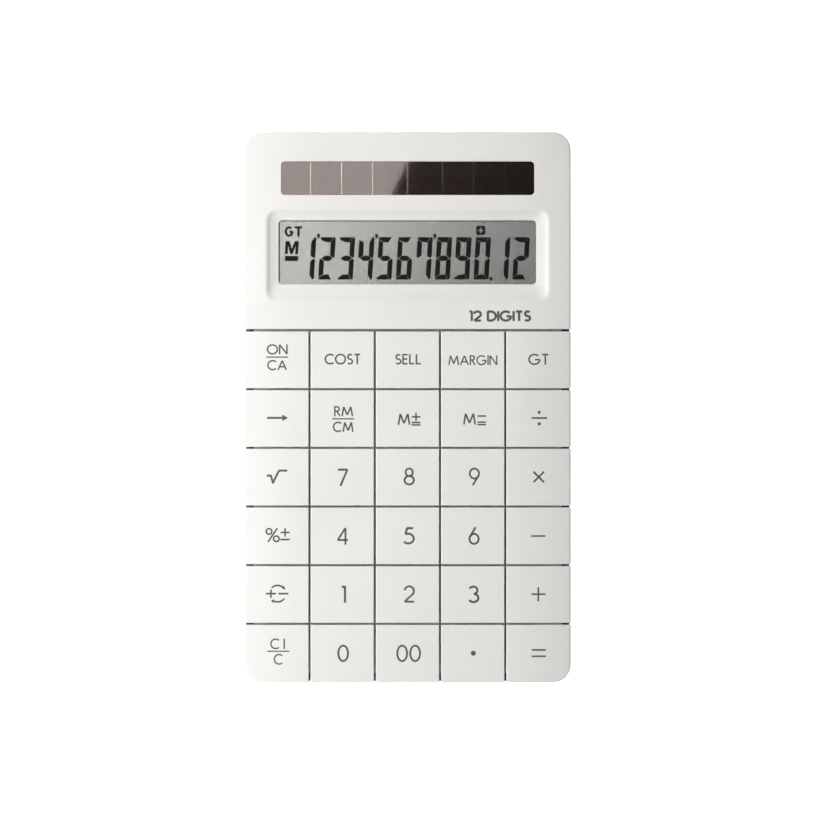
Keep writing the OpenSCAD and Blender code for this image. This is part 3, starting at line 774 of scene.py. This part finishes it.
# Each key's printing, in millimetres from the key's middle: places, sizes, then the stroke's width
LEGENDS: dict[str, list[Mark]] = {
    "key_on": [Word("ON", 0.03, 3.47, 7, 3.5, 0.52), dash(0.03, 0.91, 7.3, 0.43),
               Word("CA", 0, -1.77, 6.65, 3.5, 0.52)],
    "key_cost": [Word("COST", 0.12, 0.23, 12.1, 3.67, 0.55)],
    "key_sell": [Word("SELL", 0.19, 0.21, 8.85, 3.55, 0.52)],
    "key_margin": [Word("MARGIN", 0, -0.12, 16.35, 3.4, 0.46)],
    "key_grand_total": [Word("GT", 0.21, 0.15, 7, 3.77, 0.54)],
    "key_backspace": [Line(((-3.35, 0.21), (2, 0.21)), 0.69),
                      Patch(((1.7, 1.33), (1.7, -0.92), (3.65, 0.21)))],
    "key_memory_recall": [Word("RM", 0.43, 2.39, 6.38, 3.55, 0.52), dash(0.28, -0.11, 7.28, 0.43),
                          Word("CM", 0.28, -2.77, 6.98, 3.55, 0.52)],
    "key_memory_add": [Word("M", -1.19, -0.21, 4.3, 4.08, 0.59), *plus(2.81, 0.54, 2.9, 0.54, 2.8),
                       *(dash(2.81, y, 2.9, 0.54) for y in (-1.34, -2.14))],
    "key_memory_subtract": [Word("M", -1.11, -0.1, 4.35, 4.05, 0.58),
                            *(dash(2.94, y, 2.86, 0.53) for y in (0.83, -1.23, -2.03))],
    "key_divide": [dash(0.39, 0.15, 5.25, 0.57), dot(0.39, 2.05, 0.54), dot(0.39, -1.75, 0.54)],
    "key_root": [Line(((-3.43, 0.52), (-1.98, 0.52)), 0.7), Line(((-2.13, 0.67), (-1.28, -2.11)), 0.7),
                 Line(((-1.53, -2.11), (0.67, 2.27)), 0.7), Line(((0.52, 2.2), (3.37, 2.2)), 0.7)],
    "key_7": [Word("7", 0.1, -0.08, 3.8, 5.87, 0.7)],
    "key_8": [Word("8", 0.53, 0.24, 3.8, 5.95, 0.67)],
    "key_9": [Word("9", 0.52, 0.2, 3.7, 5.99, 0.63)],
    "key_multiply": [Line(((-1.56, -1.69), (1.99, 1.86)), 0.61), Line(((-1.56, 1.86), (1.99, -1.69)), 0.61)],
    "key_percent": [Line(((-3.05, -2.03), (0.09, 2.57)), 0.57), *circle(-2.68, 1.47, 0.93, 0.57),
                    *circle(-0.25, -0.98, 0.93, 0.57), *plus(2.63, 1.15, 3, 0.57, 2.8),
                    dash(2.63, -1.21, 3, 0.57)],
    "key_4": [Word("4", 0.17, -0.06, 3.95, 5.87, 0.63)],
    "key_5": [Word("5", 0.44, 0.02, 3.93, 5.8, 0.72)],
    "key_6": [Word("6", 0.4, 0.03, 3.71, 6.05, 0.67)],
    "key_subtract": [dash(0, -0.06, 4.8, 0.53)],
    "key_sign": [Line(tuple(arc(SWAP_X, SWAP_Y, SWAP_R, 136, 52)), 0.57),
                 Line(tuple(arc(SWAP_X, SWAP_Y, SWAP_R, -36, -122)), 0.57),
                 Patch(((1.44, 2.17), (2.29, 2.97), (2.84, 1.52))),
                 Patch(((-1.11, -1.53), (-2.01, -2.03), (-1.16, -2.98))),
                 *plus(-2.06, SWAP_Y, 3.4, 0.59, 2.8), dash(2.09, SWAP_Y, 3.3, 0.59)],
    "key_1": [Word("1", 0.33, 0.07, 1.81, 5.78, 0.73)],
    "key_2": [Word("2", 0.53, 0.19, 3.78, 5.78, 0.67)],
    "key_3": [Word("3", 0.22, 0.07, 3.95, 5.87, 0.74)],
    "key_add": plus(0.07, 0.13, 4.71, 0.56),
    "key_clear": [Word("C", -0.75, 3.13, 3.15, 3.67, 0.5), Word("I", 2.35, 3.13, 0.43, 3.67, 0.5),
                  dash(0.4, 0.66, 7.4, 0.42), Word("C", 0.4, -2, 3.15, 3.67, 0.5)],
    "key_0": [Word("0", 0.27, -0.02, 3.88, 5.8, 0.67)],
    "key_00": [Word("0", -1.8, -0.04, 3.9, 5.8, 0.66), Word("0", 2.5, -0.04, 3.9, 5.8, 0.66)],
    "key_point": [dot(0.17, 0.03, 0.84)],
    "key_equals": [dash(0.2, 1.1, 4.73, 0.55), dash(0.2, -1, 4.73, 0.55)],
}


# --- Keys -------------------------------------------------------------------------------------


@dataclass
class Keyboard:
    """Thirty full-width keys in five columns and six rows, each with its plunger, legs and print."""

    deck: Deck
    top: TopSlab
    whole: bpy.types.Object
    columns: int = 5
    pitch_y: float = 19.5
    at_edge: float = 1.0
    half_gap: float = 0.3
    roof: float = 1.6
    skirt: float = 1.2
    skirt_depth: float = 3.0
    edge: float = 0.28
    rooted: float = 0.2
    plunger_r: float = 2.2
    plunger_end: float = -6.4
    plunger_edge: float = 0.25
    plunger_sides: int = 40
    leg_inside: float = 3.78
    leg_t: float = 1.0
    leg_w: float = 3.0
    leg_end: float = -6.55
    barb: float = 0.7
    barb_h: float = 0.9
    masters: dict[tuple[bool, bool, bool], bpy.types.Object] = field(default_factory=dict)

    def blank(self, low: Vector, high: Vector) -> bpy.types.Object:
        """Cut one key out of the slab and hollow it from below.

        Args:
            low: The key's lowest corner on the deck, in millimetres.
            high: Its highest corner.

        Returns:
            The hollow key, level, where it sits on the deck.
        """
        piece = duplicate(self.whole, "key_blank")
        cuts = [(0, low.x, -1), (0, high.x, 1), (1, low.y, -1), (1, high.y, 1)]
        limits = (self.deck.width / 2, self.deck.length / 2)
        for axis, place, side in cuts:
            if abs(place) < limits[axis] - CLOSE:
                point, normal = [0.0, 0.0, 0.0], [0.0, 0.0, 0.0]
                point[axis], normal[axis] = place * MM, float(side)
                slice_off(piece, Vector(point), Vector(normal))
        slice_off(piece, Vector((0, 0, -self.skirt_depth * MM)), Vector((0, 0, -1)))
        edit(piece, Part.FACES, lambda c, n: n.z < -FACING)
        bpy.ops.mesh.inset(thickness=self.skirt * MM, depth=0)
        extrude(self.skirt_depth - self.roof)
        leave()
        rim_z = -(self.skirt_depth - CLOSE) * MM
        near = self.skirt * RIM_SHARE
        edit(piece, Part.FACES, lambda c, n: (
            n.z < -FACING and c.z < rim_z and self.top.inside(c.x / MM, c.y / MM) < near))
        if any(face.select for face in piece.data.polygons):
            extrude(self.skirt_depth - self.top.depth)
        leave()
        soften(piece, self.edge)
        return piece

    def works(self, x: float, y: float) -> list[bpy.types.Object]:
        """Model the plunger and the two snap legs under one key.

        Args:
            x: The plunger's place across the deck, in millimetres.
            y: Its place along the deck.

        Returns:
            The plunger and the two legs.
        """
        root = -self.roof + self.rooted
        bpy.ops.object.select_all(action="DESELECT")
        bpy.ops.mesh.primitive_cylinder_add(
            vertices=self.plunger_sides, radius=self.plunger_r * MM, depth=(root - self.plunger_end) * MM,
            location=(x * MM, y * MM, (root + self.plunger_end) / 2 * MM))
        plunger = bpy.context.object
        put(plunger, plunger.location.copy())
        soften(plunger, self.plunger_edge)
        a, b, end = self.leg_inside, self.leg_inside + self.leg_t, self.leg_end
        hooked = end + self.barb_h
        side = [(a, root), (a, end), (b, end), (b + self.barb, hooked), (b, hooked), (b, root)]
        leg = flat_shapes("leg", [side], self.leg_w / 2, self.leg_w)
        put(leg, Vector((x, y, 0)) * MM, (math.pi / 2, 0, 0))
        other = duplicate(leg, "leg")
        put(other, Vector((2 * x, 2 * y, 0)) * MM, (0, 0, math.pi))
        return [plunger, leg, other]

    def master(self, node: str, x: float, y: float) -> bpy.types.Object:
        """Give the finished model for a key's place, level and centred on its plunger.

        Args:
            node: The CAD node that the key stands for.
            x: The key's middle across the deck, in millimetres.
            y: Its middle along the deck.

        Returns:
            The model to copy for every key of that place.
        """
        low, high = self.deck.box(node)
        side, front = self.deck.width / 2 - self.at_edge, self.deck.length / 2 - self.at_edge
        place = (low.x < -side, high.x > side, low.y < -front)
        if place not in self.masters:
            cap = self.blank(low, high)
            if place[0] or place[1]:
                self.top.crown(cap)
            made = join([cap, *self.works(x, y)], "key_master")
            polish(made)
            put(made, Vector((-x, -y, 0)) * MM)
            self.masters[place] = made
        return self.masters[place]

    def build(self, wardrobe: Wardrobe) -> None:
        """Set and dress all thirty keys and print them.

        Args:
            wardrobe: Where the finishes come from.
        """
        pitch_x = self.deck.width / self.columns
        names = [joint["child"] for joint in frame["joints"]]
        rows = sorted({round(self.deck.box(name)[1].y, 1) for name in names}, reverse=True)
        for name in names:
            low, high = self.deck.box(name)
            x = round((low.x + high.x) / 2 / pitch_x) * pitch_x
            y = rows[0] - self.pitch_y / 2 + self.half_gap - rows.index(round(high.y, 1)) * self.pitch_y
            key = duplicate(self.master(name, x, y), name.replace("key_", "cap_"))
            put(key, Vector((x, y, 0)) * MM)
            self.deck.lay(key)
            wardrobe.dress(key, KEY_ABS)
            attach(key, name)
            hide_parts(name)
            outlines = [outline for mark in LEGENDS[name] for outline in mark.outlines()]
            outlines = [[(x + px, y + py) for px, py in outline] for outline in outlines]
            legend = flat_shapes(name.replace("key_", "print_"), outlines, PRINT_T, PRINT_T)
            if abs(x) > self.top.crown_from:
                self.top.crown(legend)
            self.deck.lay(legend)
            wardrobe.dress(legend, INK)
            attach(legend, name)
            LOG.info("%s at %.1f, %.1f mm with %d strokes", key.name, x, y, len(outlines))
        for made in self.masters.values():
            bpy.data.objects.remove(made)


# --- Head -------------------------------------------------------------------------------------


# The line of print under the display
CAPTION = Word("12 DIGITS", 30.6, 30.3, 20.9, 3.8, 0.8)


@dataclass
class Head:
    """The display head: one white moulding with a dished display opening and a solar opening."""

    deck: Deck
    top: TopSlab
    whole: bpy.types.Object
    gap: float = 0.75
    roof: float = 2.2
    wall: float = 2.0
    edge: float = 0.3
    solar_y: float = 76.1
    solar: Point = (84.2, 11.2)
    display_y: float = 51.5
    display: Point = (85.6, 21.2)
    hole_r: float = 1.3
    hole_cuts: int = 8
    dish_depth: float = 1.45
    dish_steps: int = 7
    dish_flat: float = 0.3
    dish_side: float = 4.1
    dish_rear: float = 3.4
    dish_front: float = 5.6
    dish_r: float = 3.4
    dish_lip: float = 0.6
    dish_lip_cuts: int = 5
    window_lip: float = 0.28
    window_lip_cuts: int = 3
    pocket_gap: float = 0.1
    pocket_top: float = -0.95
    deck_top: float = -3.35
    cell_joints: tuple[float, ...] = (11.66, 21.97, 32.29)
    joint_half: float = 0.19

    def rounded(self, low: Point, high: Point, r: float, z: float) -> bpy.types.Object:
        """Lay down a flat rounded rectangle as a cutter's cross-section.

        Args:
            low: Its left front corner, in millimetres.
            high: Its right rear corner.
            r: Its corner radius.
            z: Its height.

        Returns:
            The flat mesh object.
        """
        bpy.ops.object.select_all(action="DESELECT")
        bpy.ops.mesh.primitive_plane_add(size=1)
        piece = bpy.context.object
        piece.scale = ((high[0] - low[0]) * MM, (high[1] - low[1]) * MM, 1)
        put(piece, Vector(((low[0] + high[0]) / 2, (low[1] + high[1]) / 2, z)) * MM)
        edit(piece, Part.FACES)
        bpy.ops.mesh.bevel(offset=r * MM, segments=self.hole_cuts, affect="VERTICES")
        leave()
        return piece

    def dish(self) -> bpy.types.Object:
        """Model the coved plug that leaves the display's dish, steep at its rim and flat at the window.

        Returns:
            The closed cutter, from above the top face to below the roof.
        """
        w, l, y = self.display[0] / 2, self.display[1] / 2, self.display_y
        rings, levels = [], []
        for i in range(self.dish_steps + 1):
            f = i / self.dish_steps
            levels.append(-self.dish_depth * (1 - self.dish_flat * f - (1 - self.dish_flat) * f * f))
            ring_r = self.hole_r + (self.dish_r - self.hole_r) * f
            piece = self.rounded((-w - self.dish_side * f, y - l - self.dish_front * f),
                                 (w + self.dish_side * f, y + l + self.dish_rear * f), ring_r, levels[-1])
            if i in (0, self.dish_steps):
                edit(piece, Part.FACES)
                extrude(self.dish_depth - self.roof - PAST if i == 0 else PAST)
                leave()
            edit(piece, Part.FACES, lambda c, n: abs(c.z - levels[-1] * MM) < CLOSE * MM)
            bpy.ops.mesh.delete(type="ONLY_FACE")
            leave()
            rings.append(piece)
        plug = join(rings, "dish_plug")
        for low, high in zip(levels, levels[1:]):
            edit(plug, Part.EDGES, lambda a, b: abs(a.z - b.z) < TOUCH / 10 and min(
                abs(a.z - low * MM), abs(a.z - high * MM)) < TOUCH)
            bpy.ops.mesh.bridge_edge_loops()
            leave()
        edit(plug, Part.FACES)
        bpy.ops.mesh.normals_make_consistent(inside=False)
        leave()
        return plug

    def near_rim(self, centre: Vector) -> bool:
        """Tell whether a face of the head's underside is part of its rim."""
        near = self.wall * RIM_SHARE
        return (self.top.inside(centre.x / MM, centre.y / MM) < near
                or centre.y / MM < self.deck.head_front + self.gap + near)

    def round_outline(self, piece: bpy.types.Object, level: float, reach: tuple[float, float, float],
                      width: float, cuts: int) -> None:
        """Round the dish's edges at one height, within a rectangle about the display.

        Args:
            piece: The head's shell.
            level: The edges' height, in millimetres.
            reach: How far the rectangle goes beyond the display at its sides, front and rear.
            width: The rounding's width, in millimetres.
            cuts: Its segments.
        """
        side = self.display[0] / 2 + reach[0] + CLOSE / 2
        front = self.display_y - self.display[1] / 2 - reach[1] - CLOSE / 2
        rear = self.display_y + self.display[1] / 2 + reach[2] + CLOSE / 2

        def on_outline(a: Vector, b: Vector) -> bool:
            """Tell whether both ends of an edge lie at the height and within the rectangle."""
            return all(abs(p.z - level * MM) < 2 * TOUCH and abs(p.x) < side * MM
                       and front * MM < p.y < rear * MM for p in (a, b))

        edit(piece, Part.EDGES, on_outline)
        bpy.ops.mesh.bevel(offset=width * MM, segments=cuts, affect="EDGES", clamp_overlap=True)
        leave()

    def shell(self) -> bpy.types.Object:
        """Model the head's outer shell with its openings.

        Returns:
            The shell, level, where it sits on the deck.
        """
        front = self.deck.head_front + self.gap
        piece = duplicate(self.whole, "head_shell")
        slice_off(piece, Vector((0, front * MM, 0)), Vector((0, -1, 0)))
        slice_off(piece, Vector((0, 0, -self.roof * MM)), Vector((0, 0, -1)))
        edit(piece, Part.FACES, lambda c, n: n.z < -FACING)
        bpy.ops.mesh.inset(thickness=self.wall * MM, depth=0)
        leave()
        edit(piece, Part.FACES, lambda c, n: n.z < -FACING and self.near_rim(c))
        extrude(self.roof - self.top.depth)
        leave()
        soften(piece, self.edge)
        carve(piece, self.dish())
        y, (w, l) = self.solar_y, self.solar
        hole = self.rounded((-w / 2, y - l / 2), (w / 2, y + l / 2), self.hole_r, -self.roof - PAST)
        edit(hole, Part.FACES)
        extrude(self.roof + 2 * PAST)
        bpy.ops.mesh.select_all(action="SELECT")
        bpy.ops.mesh.normals_make_consistent(inside=False)
        leave()
        carve(piece, hole)
        low, high = self.deck.box("solar_window")
        room = Vector((self.pocket_gap, self.pocket_gap, 0))
        low.z, high.z = -self.roof - PAST, self.pocket_top
        carve(piece, slab("pocket", low - room, high + room))
        self.round_outline(piece, 0.0, (self.dish_side, self.dish_front, self.dish_rear), self.dish_lip,
                           self.dish_lip_cuts)
        self.round_outline(piece, -self.dish_depth, (0.0, 0.0, 0.0), self.window_lip, self.window_lip_cuts)
        self.top.crown(piece)
        return piece

    def inner(self) -> list[bpy.types.Object]:
        """Take the hidden key deck and guides from a merged copy of the CAD moulding.

        Returns:
            The part under the keys and the part under the head.
        """
        up, back = self.deck.turn() @ Vector((0, 0, 1)), self.deck.turn() @ Vector((0, 1, 0))
        front = self.deck.head_front + self.gap
        made = []
        for name, height, side in (("key_deck", self.deck_top, 1), ("head_inside", -self.top.depth, -1)):
            mesh = frame["nodes"]["upper_case"].data.copy()
            piece = bpy.data.objects.new(name, mesh)
            bpy.context.scene.collection.objects.link(piece)
            edit(piece, Part.FACES)
            bpy.ops.mesh.remove_doubles(threshold=TOUCH)
            leave()
            slice_off(piece, self.deck.at(0, 0, height), up)
            slice_off(piece, self.deck.at(0, front, 0), back * side)
            made.append(piece)
        return made

    def separators(self) -> bpy.types.Object:
        """Model the silver lines between the solar cells.

        Returns:
            The lines, level, in the gaps that the cells leave.
        """
        low, high = self.deck.box("solar_cells")
        middles = [0.0] + [side * x for x in self.cell_joints for side in (1, -1)]
        spans = [(x - self.joint_half, x + self.joint_half) for x in middles]
        shapes = [[(a, low.y), (b, low.y), (b, high.y), (a, high.y)] for a, b in spans]
        return flat_shapes("solar_separators", shapes, high.z, high.z - low.z)

    def build(self, wardrobe: Wardrobe) -> None:
        """Set and dress the head.

        Args:
            wardrobe: Where the finishes come from.
        """
        shell = self.shell()
        self.deck.lay(shell)
        moulding = join([shell, *self.inner()], "head_moulding")
        polish(moulding)
        moulding.data.materials.clear()
        wardrobe.dress(moulding, WHITE_ABS)
        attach(moulding, "case")
        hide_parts("upper_case")
        lines = self.separators()
        self.deck.lay(lines)
        wardrobe.dress(lines, SILVER_PASTE)
        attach(lines, "case")
        caption = flat_shapes("head_caption", CAPTION.outlines(), PRINT_T, PRINT_T)
        self.deck.lay(caption)
        wardrobe.dress(caption, INK)
        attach(caption, "case")
        LOG.info("head moulding with %d faces", len(moulding.data.polygons))


# --- Display contents -------------------------------------------------------------------------


# The segments that each digit switches, by their usual letters
SEGMENTS = {"0": "abcdef", "1": "bc", "2": "abged", "3": "abgcd", "4": "fgbc", "5": "afgcd", "6": "afgedc",
            "7": "fabc", "8": "abcdefg", "9": "abcdfg"}
# A bold M from its left foot, and the tail under each thousands dot from the dot's middle
BOLD_M = ((0, 0), (0, 4.28), (1.3, 4.28), (2.2, 1.75), (3.1, 4.28), (4.4, 4.28), (4.4, 0), (3.45, 0),
          (3.45, 2.9), (2.6, 0), (1.8, 0), (0.95, 2.9), (0.95, 0))
TAIL = ((0.56, 0), (0.47, -0.5), (-0.15, -1.3), (-0.4, -1.1), (0.02, -0.4))


@dataclass
class Readout:
    """The switched segments of the display: twelve slanted digits and the small signs."""

    deck: Deck
    digits: str = "123456789012"
    last_edge: float = 40.7
    pitch: float = 6.46
    foot: float = 42.5
    height: float = 14.1
    width: float = 5.05
    bar: float = 1.72
    post: float = 1.6
    gap: float = 0.085
    slant: float = 0.058
    thick: float = 0.02
    thousands: tuple[float, ...] = (-29.65, -10.35, 9.05)
    thousands_y: float = 57.15
    thousands_r: float = 0.56
    point: Point = (27.7, 42.85)
    point_r: float = 0.6
    memory: Point = (-40.85, 51.0)
    badge_at: Point = (24.35, 58.85)
    # Painted shadow of the display's lip: how far the dark strip shows inside the opening's rear and left
    # edges, and how far it runs on under the case
    shadow_shows: float = 0.26
    shadow_hidden: float = 0.5

    def segment(self, name: str) -> list[Point]:
        """Give one segment's corners in an upright digit.

        Args:
            name: The segment's usual letter, a to g.

        Returns:
            The corners, in millimetres from the digit's left foot.
        """
        w, h, t, u, g = self.width, self.height, self.bar, self.post, self.gap
        m, tip = h / 2, 0.5
        shapes = {
            "a": [(0, h - 0.75 + g), (0, h - 0.3), (0.3, h), (w - 0.62 - g, h), (w - u - g, h - t),
                  (u, h - t + g)],
            "b": [(w - 0.62 + g, h), (w - 0.28, h), (w, h - 0.42), (w, m + 0.4), (w - tip, m + g),
                  (w - u, m + t / 2 + g), (w - u, h - t + g)],
            "c": [(w - 0.7 + g, 0), (w - 0.3, 0.05), (w, 0.55), (w, m - 0.4), (w - tip, m - g),
                  (w - u, m - t / 2 - g), (w - u, t - g)],
            "d": [(0, 0.6 - g), (0.05, 0.3), (0.35, 0), (w - 0.7 - g, 0), (w - u - g, t), (u, t - g)],
            "e": [(0, 0.6 + g), (u, t + g), (u, m - t / 2 - g), (tip, m - g), (0, m - 0.4)],
            "f": [(0, h - 0.75 - g), (u, h - t - g), (u, m + t / 2 + g), (tip, m + g), (0, m + 0.4)],
            "g": [(tip + 1.5 * g, m), (u + g, m + t / 2), (w - u - g, m + t / 2), (w - tip - 1.5 * g, m),
                  (w - u - g, m - t / 2), (u + g, m - t / 2)],
        }
        return shapes[name]

    def signs(self) -> list[list[Point]]:
        """Give the outlines of the separators and the small signs.

        Returns:
            The outlines, in millimetres on the deck.
        """
        made, y = [], self.thousands_y
        for x in self.thousands:
            made += dot(x, y, self.thousands_r).outlines()
            made.append([(x + px, y + py) for px, py in TAIL])
        made += dot(*self.point, self.point_r).outlines()
        made += Word("G", -39.45, 58.5, 2.98, 3.5, 0.76).outlines()
        made += Line(((-37.6, 59.87), (-35.1, 59.87)), 0.76).outlines()
        made += Line(((-36.3, 59.6), (-36.3, 56.75)), 0.76).outlines()
        made.append([(self.memory[0] + x + self.slant * y, self.memory[1] + y) for x, y in BOLD_M])
        made += dash(-38.66, 49.5, 4.43, 1.7).outlines()
        return made + self.badge(*self.badge_at)

    def badge(self, x: float, y: float) -> list[list[Point]]:
        """Give the outlines of a dark rounded square around a clear plus.

        Args:
            x: The badge's middle across the deck, in millimetres.
            y: Its middle along the deck.

        Returns:
            The outlines, in millimetres on the deck.
        """
        half, arm, thin, r = 1.5, 1.0, 0.19, 0.45
        made = []
        for sx, sy in ((1, 1), (-1, 1), (-1, -1), (1, -1)):
            quarter = [(thin, thin), (half, thin), (half, half - r), (half - r / 3, half - r / 3),
                       (half - r, half), (thin, half)]
            made.append([(x + sx * px, y + sy * py) for px, py in quarter])
            along = [(arm, 0), (half, 0), (half, thin), (arm, thin)]
            made.append([(x + sx * px, y + sy * py) for px, py in along])
            made.append([(x + sx * py, y + sy * px) for px, py in along])
        return made

    def build(self, wardrobe: Wardrobe) -> None:
        """Set the segments on the front polariser.

        Args:
            wardrobe: Where the finishes come from.
        """
        shapes = []
        for place, digit in enumerate(self.digits):
            right = self.last_edge - (len(self.digits) - 1 - place) * self.pitch
            left = right - self.width - self.slant * self.height
            for name in SEGMENTS[digit]:
                shapes.append([(left + x + self.slant * y, self.foot + y) for x, y in self.segment(name)])
        top = self.deck.box("front_polariser")[1].z
        piece = flat_shapes("readout_segments", shapes + self.signs(), top + self.thick, self.thick)
        self.deck.lay(piece)
        wardrobe.dress(piece, CRYSTAL_BLACK)
        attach(piece, "case")
        LOG.info("readout with %d shapes", len(shapes))
        # Also lays the painted shadow of the lip along the display's rear and left edges
        self.lay_lip_shadow(top, wardrobe)

    def lay_lip_shadow(self, top: float, wardrobe: Wardrobe) -> None:
        """Lay a thin dark grey strip along the display's rear and left edges as painted shadow of the
        opening's lip, shaped like a dust seal.

        Args:
            top: Height of the front polariser, in millimetres.
            wardrobe: Where the finish comes from.
        """
        (w, l), y, hidden = Head.display, Head.display_y, self.shadow_hidden
        left, rear = self.shadow_shows - w / 2, y + l / 2 - self.shadow_shows
        end = -w / 2 - hidden
        back = [(end, rear), (w / 2, rear), (w / 2, rear + hidden), (end, rear + hidden)]
        side = [(left - hidden, y - l / 2), (left, y - l / 2), (left, rear), (left - hidden, rear)]
        # Painted shadow: dark grey strips only where the lip would shade the polariser, at its rear and left
        piece = flat_shapes("painted_lip_shadow_strip", [back, side], top + 2 * self.thick, 2 * self.thick)
        self.deck.lay(piece)
        wardrobe.dress(piece, LIP_SHADOW_GREY)
        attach(piece, "case")


# --- Stage ------------------------------------------------------------------------------------


@dataclass
class Studio:
    """A pale floor, soft panels of light and a long lens square to the sloping top."""

    deck: Deck
    distance: float = 2.0
    view_side: float = 270.8
    aim: Point = (-0.03, -0.09)
    sensor: float = 36.0
    floor_side: float = 8.0
    floor_drop: float = 0.0001
    overhead_light: float = 3.7
    key_light: float = 8.3
    room_light: float = 0.08

    def floor(self, wardrobe: Wardrobe) -> None:
        """Lay the floor under the feet."""
        bpy.ops.object.select_all(action="DESELECT")
        bpy.ops.mesh.primitive_plane_add(size=self.floor_side, location=(0, 0, -self.floor_drop))
        piece = bpy.context.object
        piece.name = "floor"
        wardrobe.dress(piece, BOARD)
        nodes = piece.material_slots[0].material.node_tree.nodes
        shade = next(node for node in nodes if node.type == "BSDF_PRINCIPLED")
        shade.inputs["Emission Color"].default_value = (1, 1, 1, 1)
        shade.inputs["Emission Strength"].default_value = 1.0

    def panel(self, name: str, centre: Vector, aim: Vector, size: Point, radiance: float, turn: float = 0.0,
              tint: str = "#FFFFFF") -> None:
        """Hang one soft panel of light.

        Args:
            name: The light's name.
            centre: Its middle, in metres from the deck's middle, on the level deck.
            aim: The point it faces, in the same way.
            size: Its width and height in metres.
            radiance: Its brightness, one being white.
            turn: Its turn about its own axis, in degrees.
            tint: Its colour.
        """
        bpy.ops.object.light_add(type="AREA")
        light = bpy.context.object
        light.name = name
        light.data.shape = "RECTANGLE"
        light.data.size, light.data.size_y = size
        light.data.energy = radiance * math.pi * size[0] * size[1]
        light.data.color = linear(tint)[:3]
        base = self.deck.turn() @ self.deck.middle
        facing = (self.deck.turn() @ (aim - centre)).to_track_quat("-Z", "Y").to_matrix()
        spun = facing @ Matrix.Rotation(math.radians(turn), 3, "Z")
        light.matrix_world = Matrix.Translation(base + self.deck.turn() @ centre) @ spun.to_4x4()

    def lights(self) -> None:
        """Set the lights: a panel overhead that the panes mirror, and a long soft key at the left."""
        lean, wide, deep, height = 26.0, 0.5, 0.8, 2.2
        away = Vector((math.cos(math.radians(lean)), -math.sin(math.radians(lean)), 0))
        hinge = Vector((-0.0066, 0.158, height))
        centre = hinge - away * wide / 2
        self.panel("overhead_panel", centre, centre - Vector((0, 0, 1)), (wide, deep),
                   self.overhead_light, -lean, "#FFF6F2")
        self.panel("key_strip", Vector((-0.46, 0.06, 0.44)), Vector((-0.02, 0.06, 0)), (1.3, 0.24),
                   self.key_light)
        world = bpy.data.worlds.new("soft_room")
        bpy.context.scene.world = world
        world.use_nodes = True
        backdrop = world.node_tree.nodes["Background"]
        backdrop.inputs["Color"].default_value = (1, 1, 1, 1)
        backdrop.inputs["Strength"].default_value = self.room_light
        bpy.context.scene.view_settings.view_transform = "Standard"

    def camera(self) -> None:
        """Set the camera square above the deck."""
        data = bpy.data.cameras.new("camera")
        data.sensor_width = self.sensor
        data.lens = self.sensor * self.distance / (self.view_side * MM)
        camera = bpy.data.objects.new("camera", data)
        bpy.context.scene.collection.objects.link(camera)
        place = self.deck.at(*self.aim, self.distance / MM)
        camera.matrix_world = Matrix.Translation(place) @ self.deck.turn().to_4x4()
        bpy.context.scene.camera = camera

    def build(self, wardrobe: Wardrobe) -> None:
        """Set the floor, the lights and the camera.

        Args:
            wardrobe: Where the floor's finish comes from.
        """
        self.floor(wardrobe)
        self.lights()
        self.camera()
        LOG.info("studio with a lens of %.0f mm at %.1f m", bpy.context.scene.camera.data.lens, self.distance)


def dress_nodes(wardrobe: Wardrobe) -> None:
    """Give each CAD node that stays its finish.

    Args:
        wardrobe: Where the finishes come from.
    """
    for name, finish in NODE_FINISHES.items():
        wardrobe.dress(frame["nodes"][name], finish)
        LOG.info("%s in %s", name, finish.name)


def main() -> None:
    """Build the calculator in order and report each piece."""
    logging.basicConfig(level=logging.INFO, format="%(message)s")
    wardrobe = Wardrobe()
    deck = Deck.measure()
    LOG.info("deck %.1f x %.1f mm at %.2f degrees", deck.width, deck.length, math.degrees(deck.slope))
    Studio(deck).build(wardrobe)
    dress_nodes(wardrobe)
    top = TopSlab(deck)
    whole = top.build()
    Keyboard(deck, top, whole).build(wardrobe)
    Head(deck, top, whole).build(wardrobe)
    bpy.data.objects.remove(whole)
    Readout(deck).build(wardrobe)


if __name__ == "__main__":
    main()
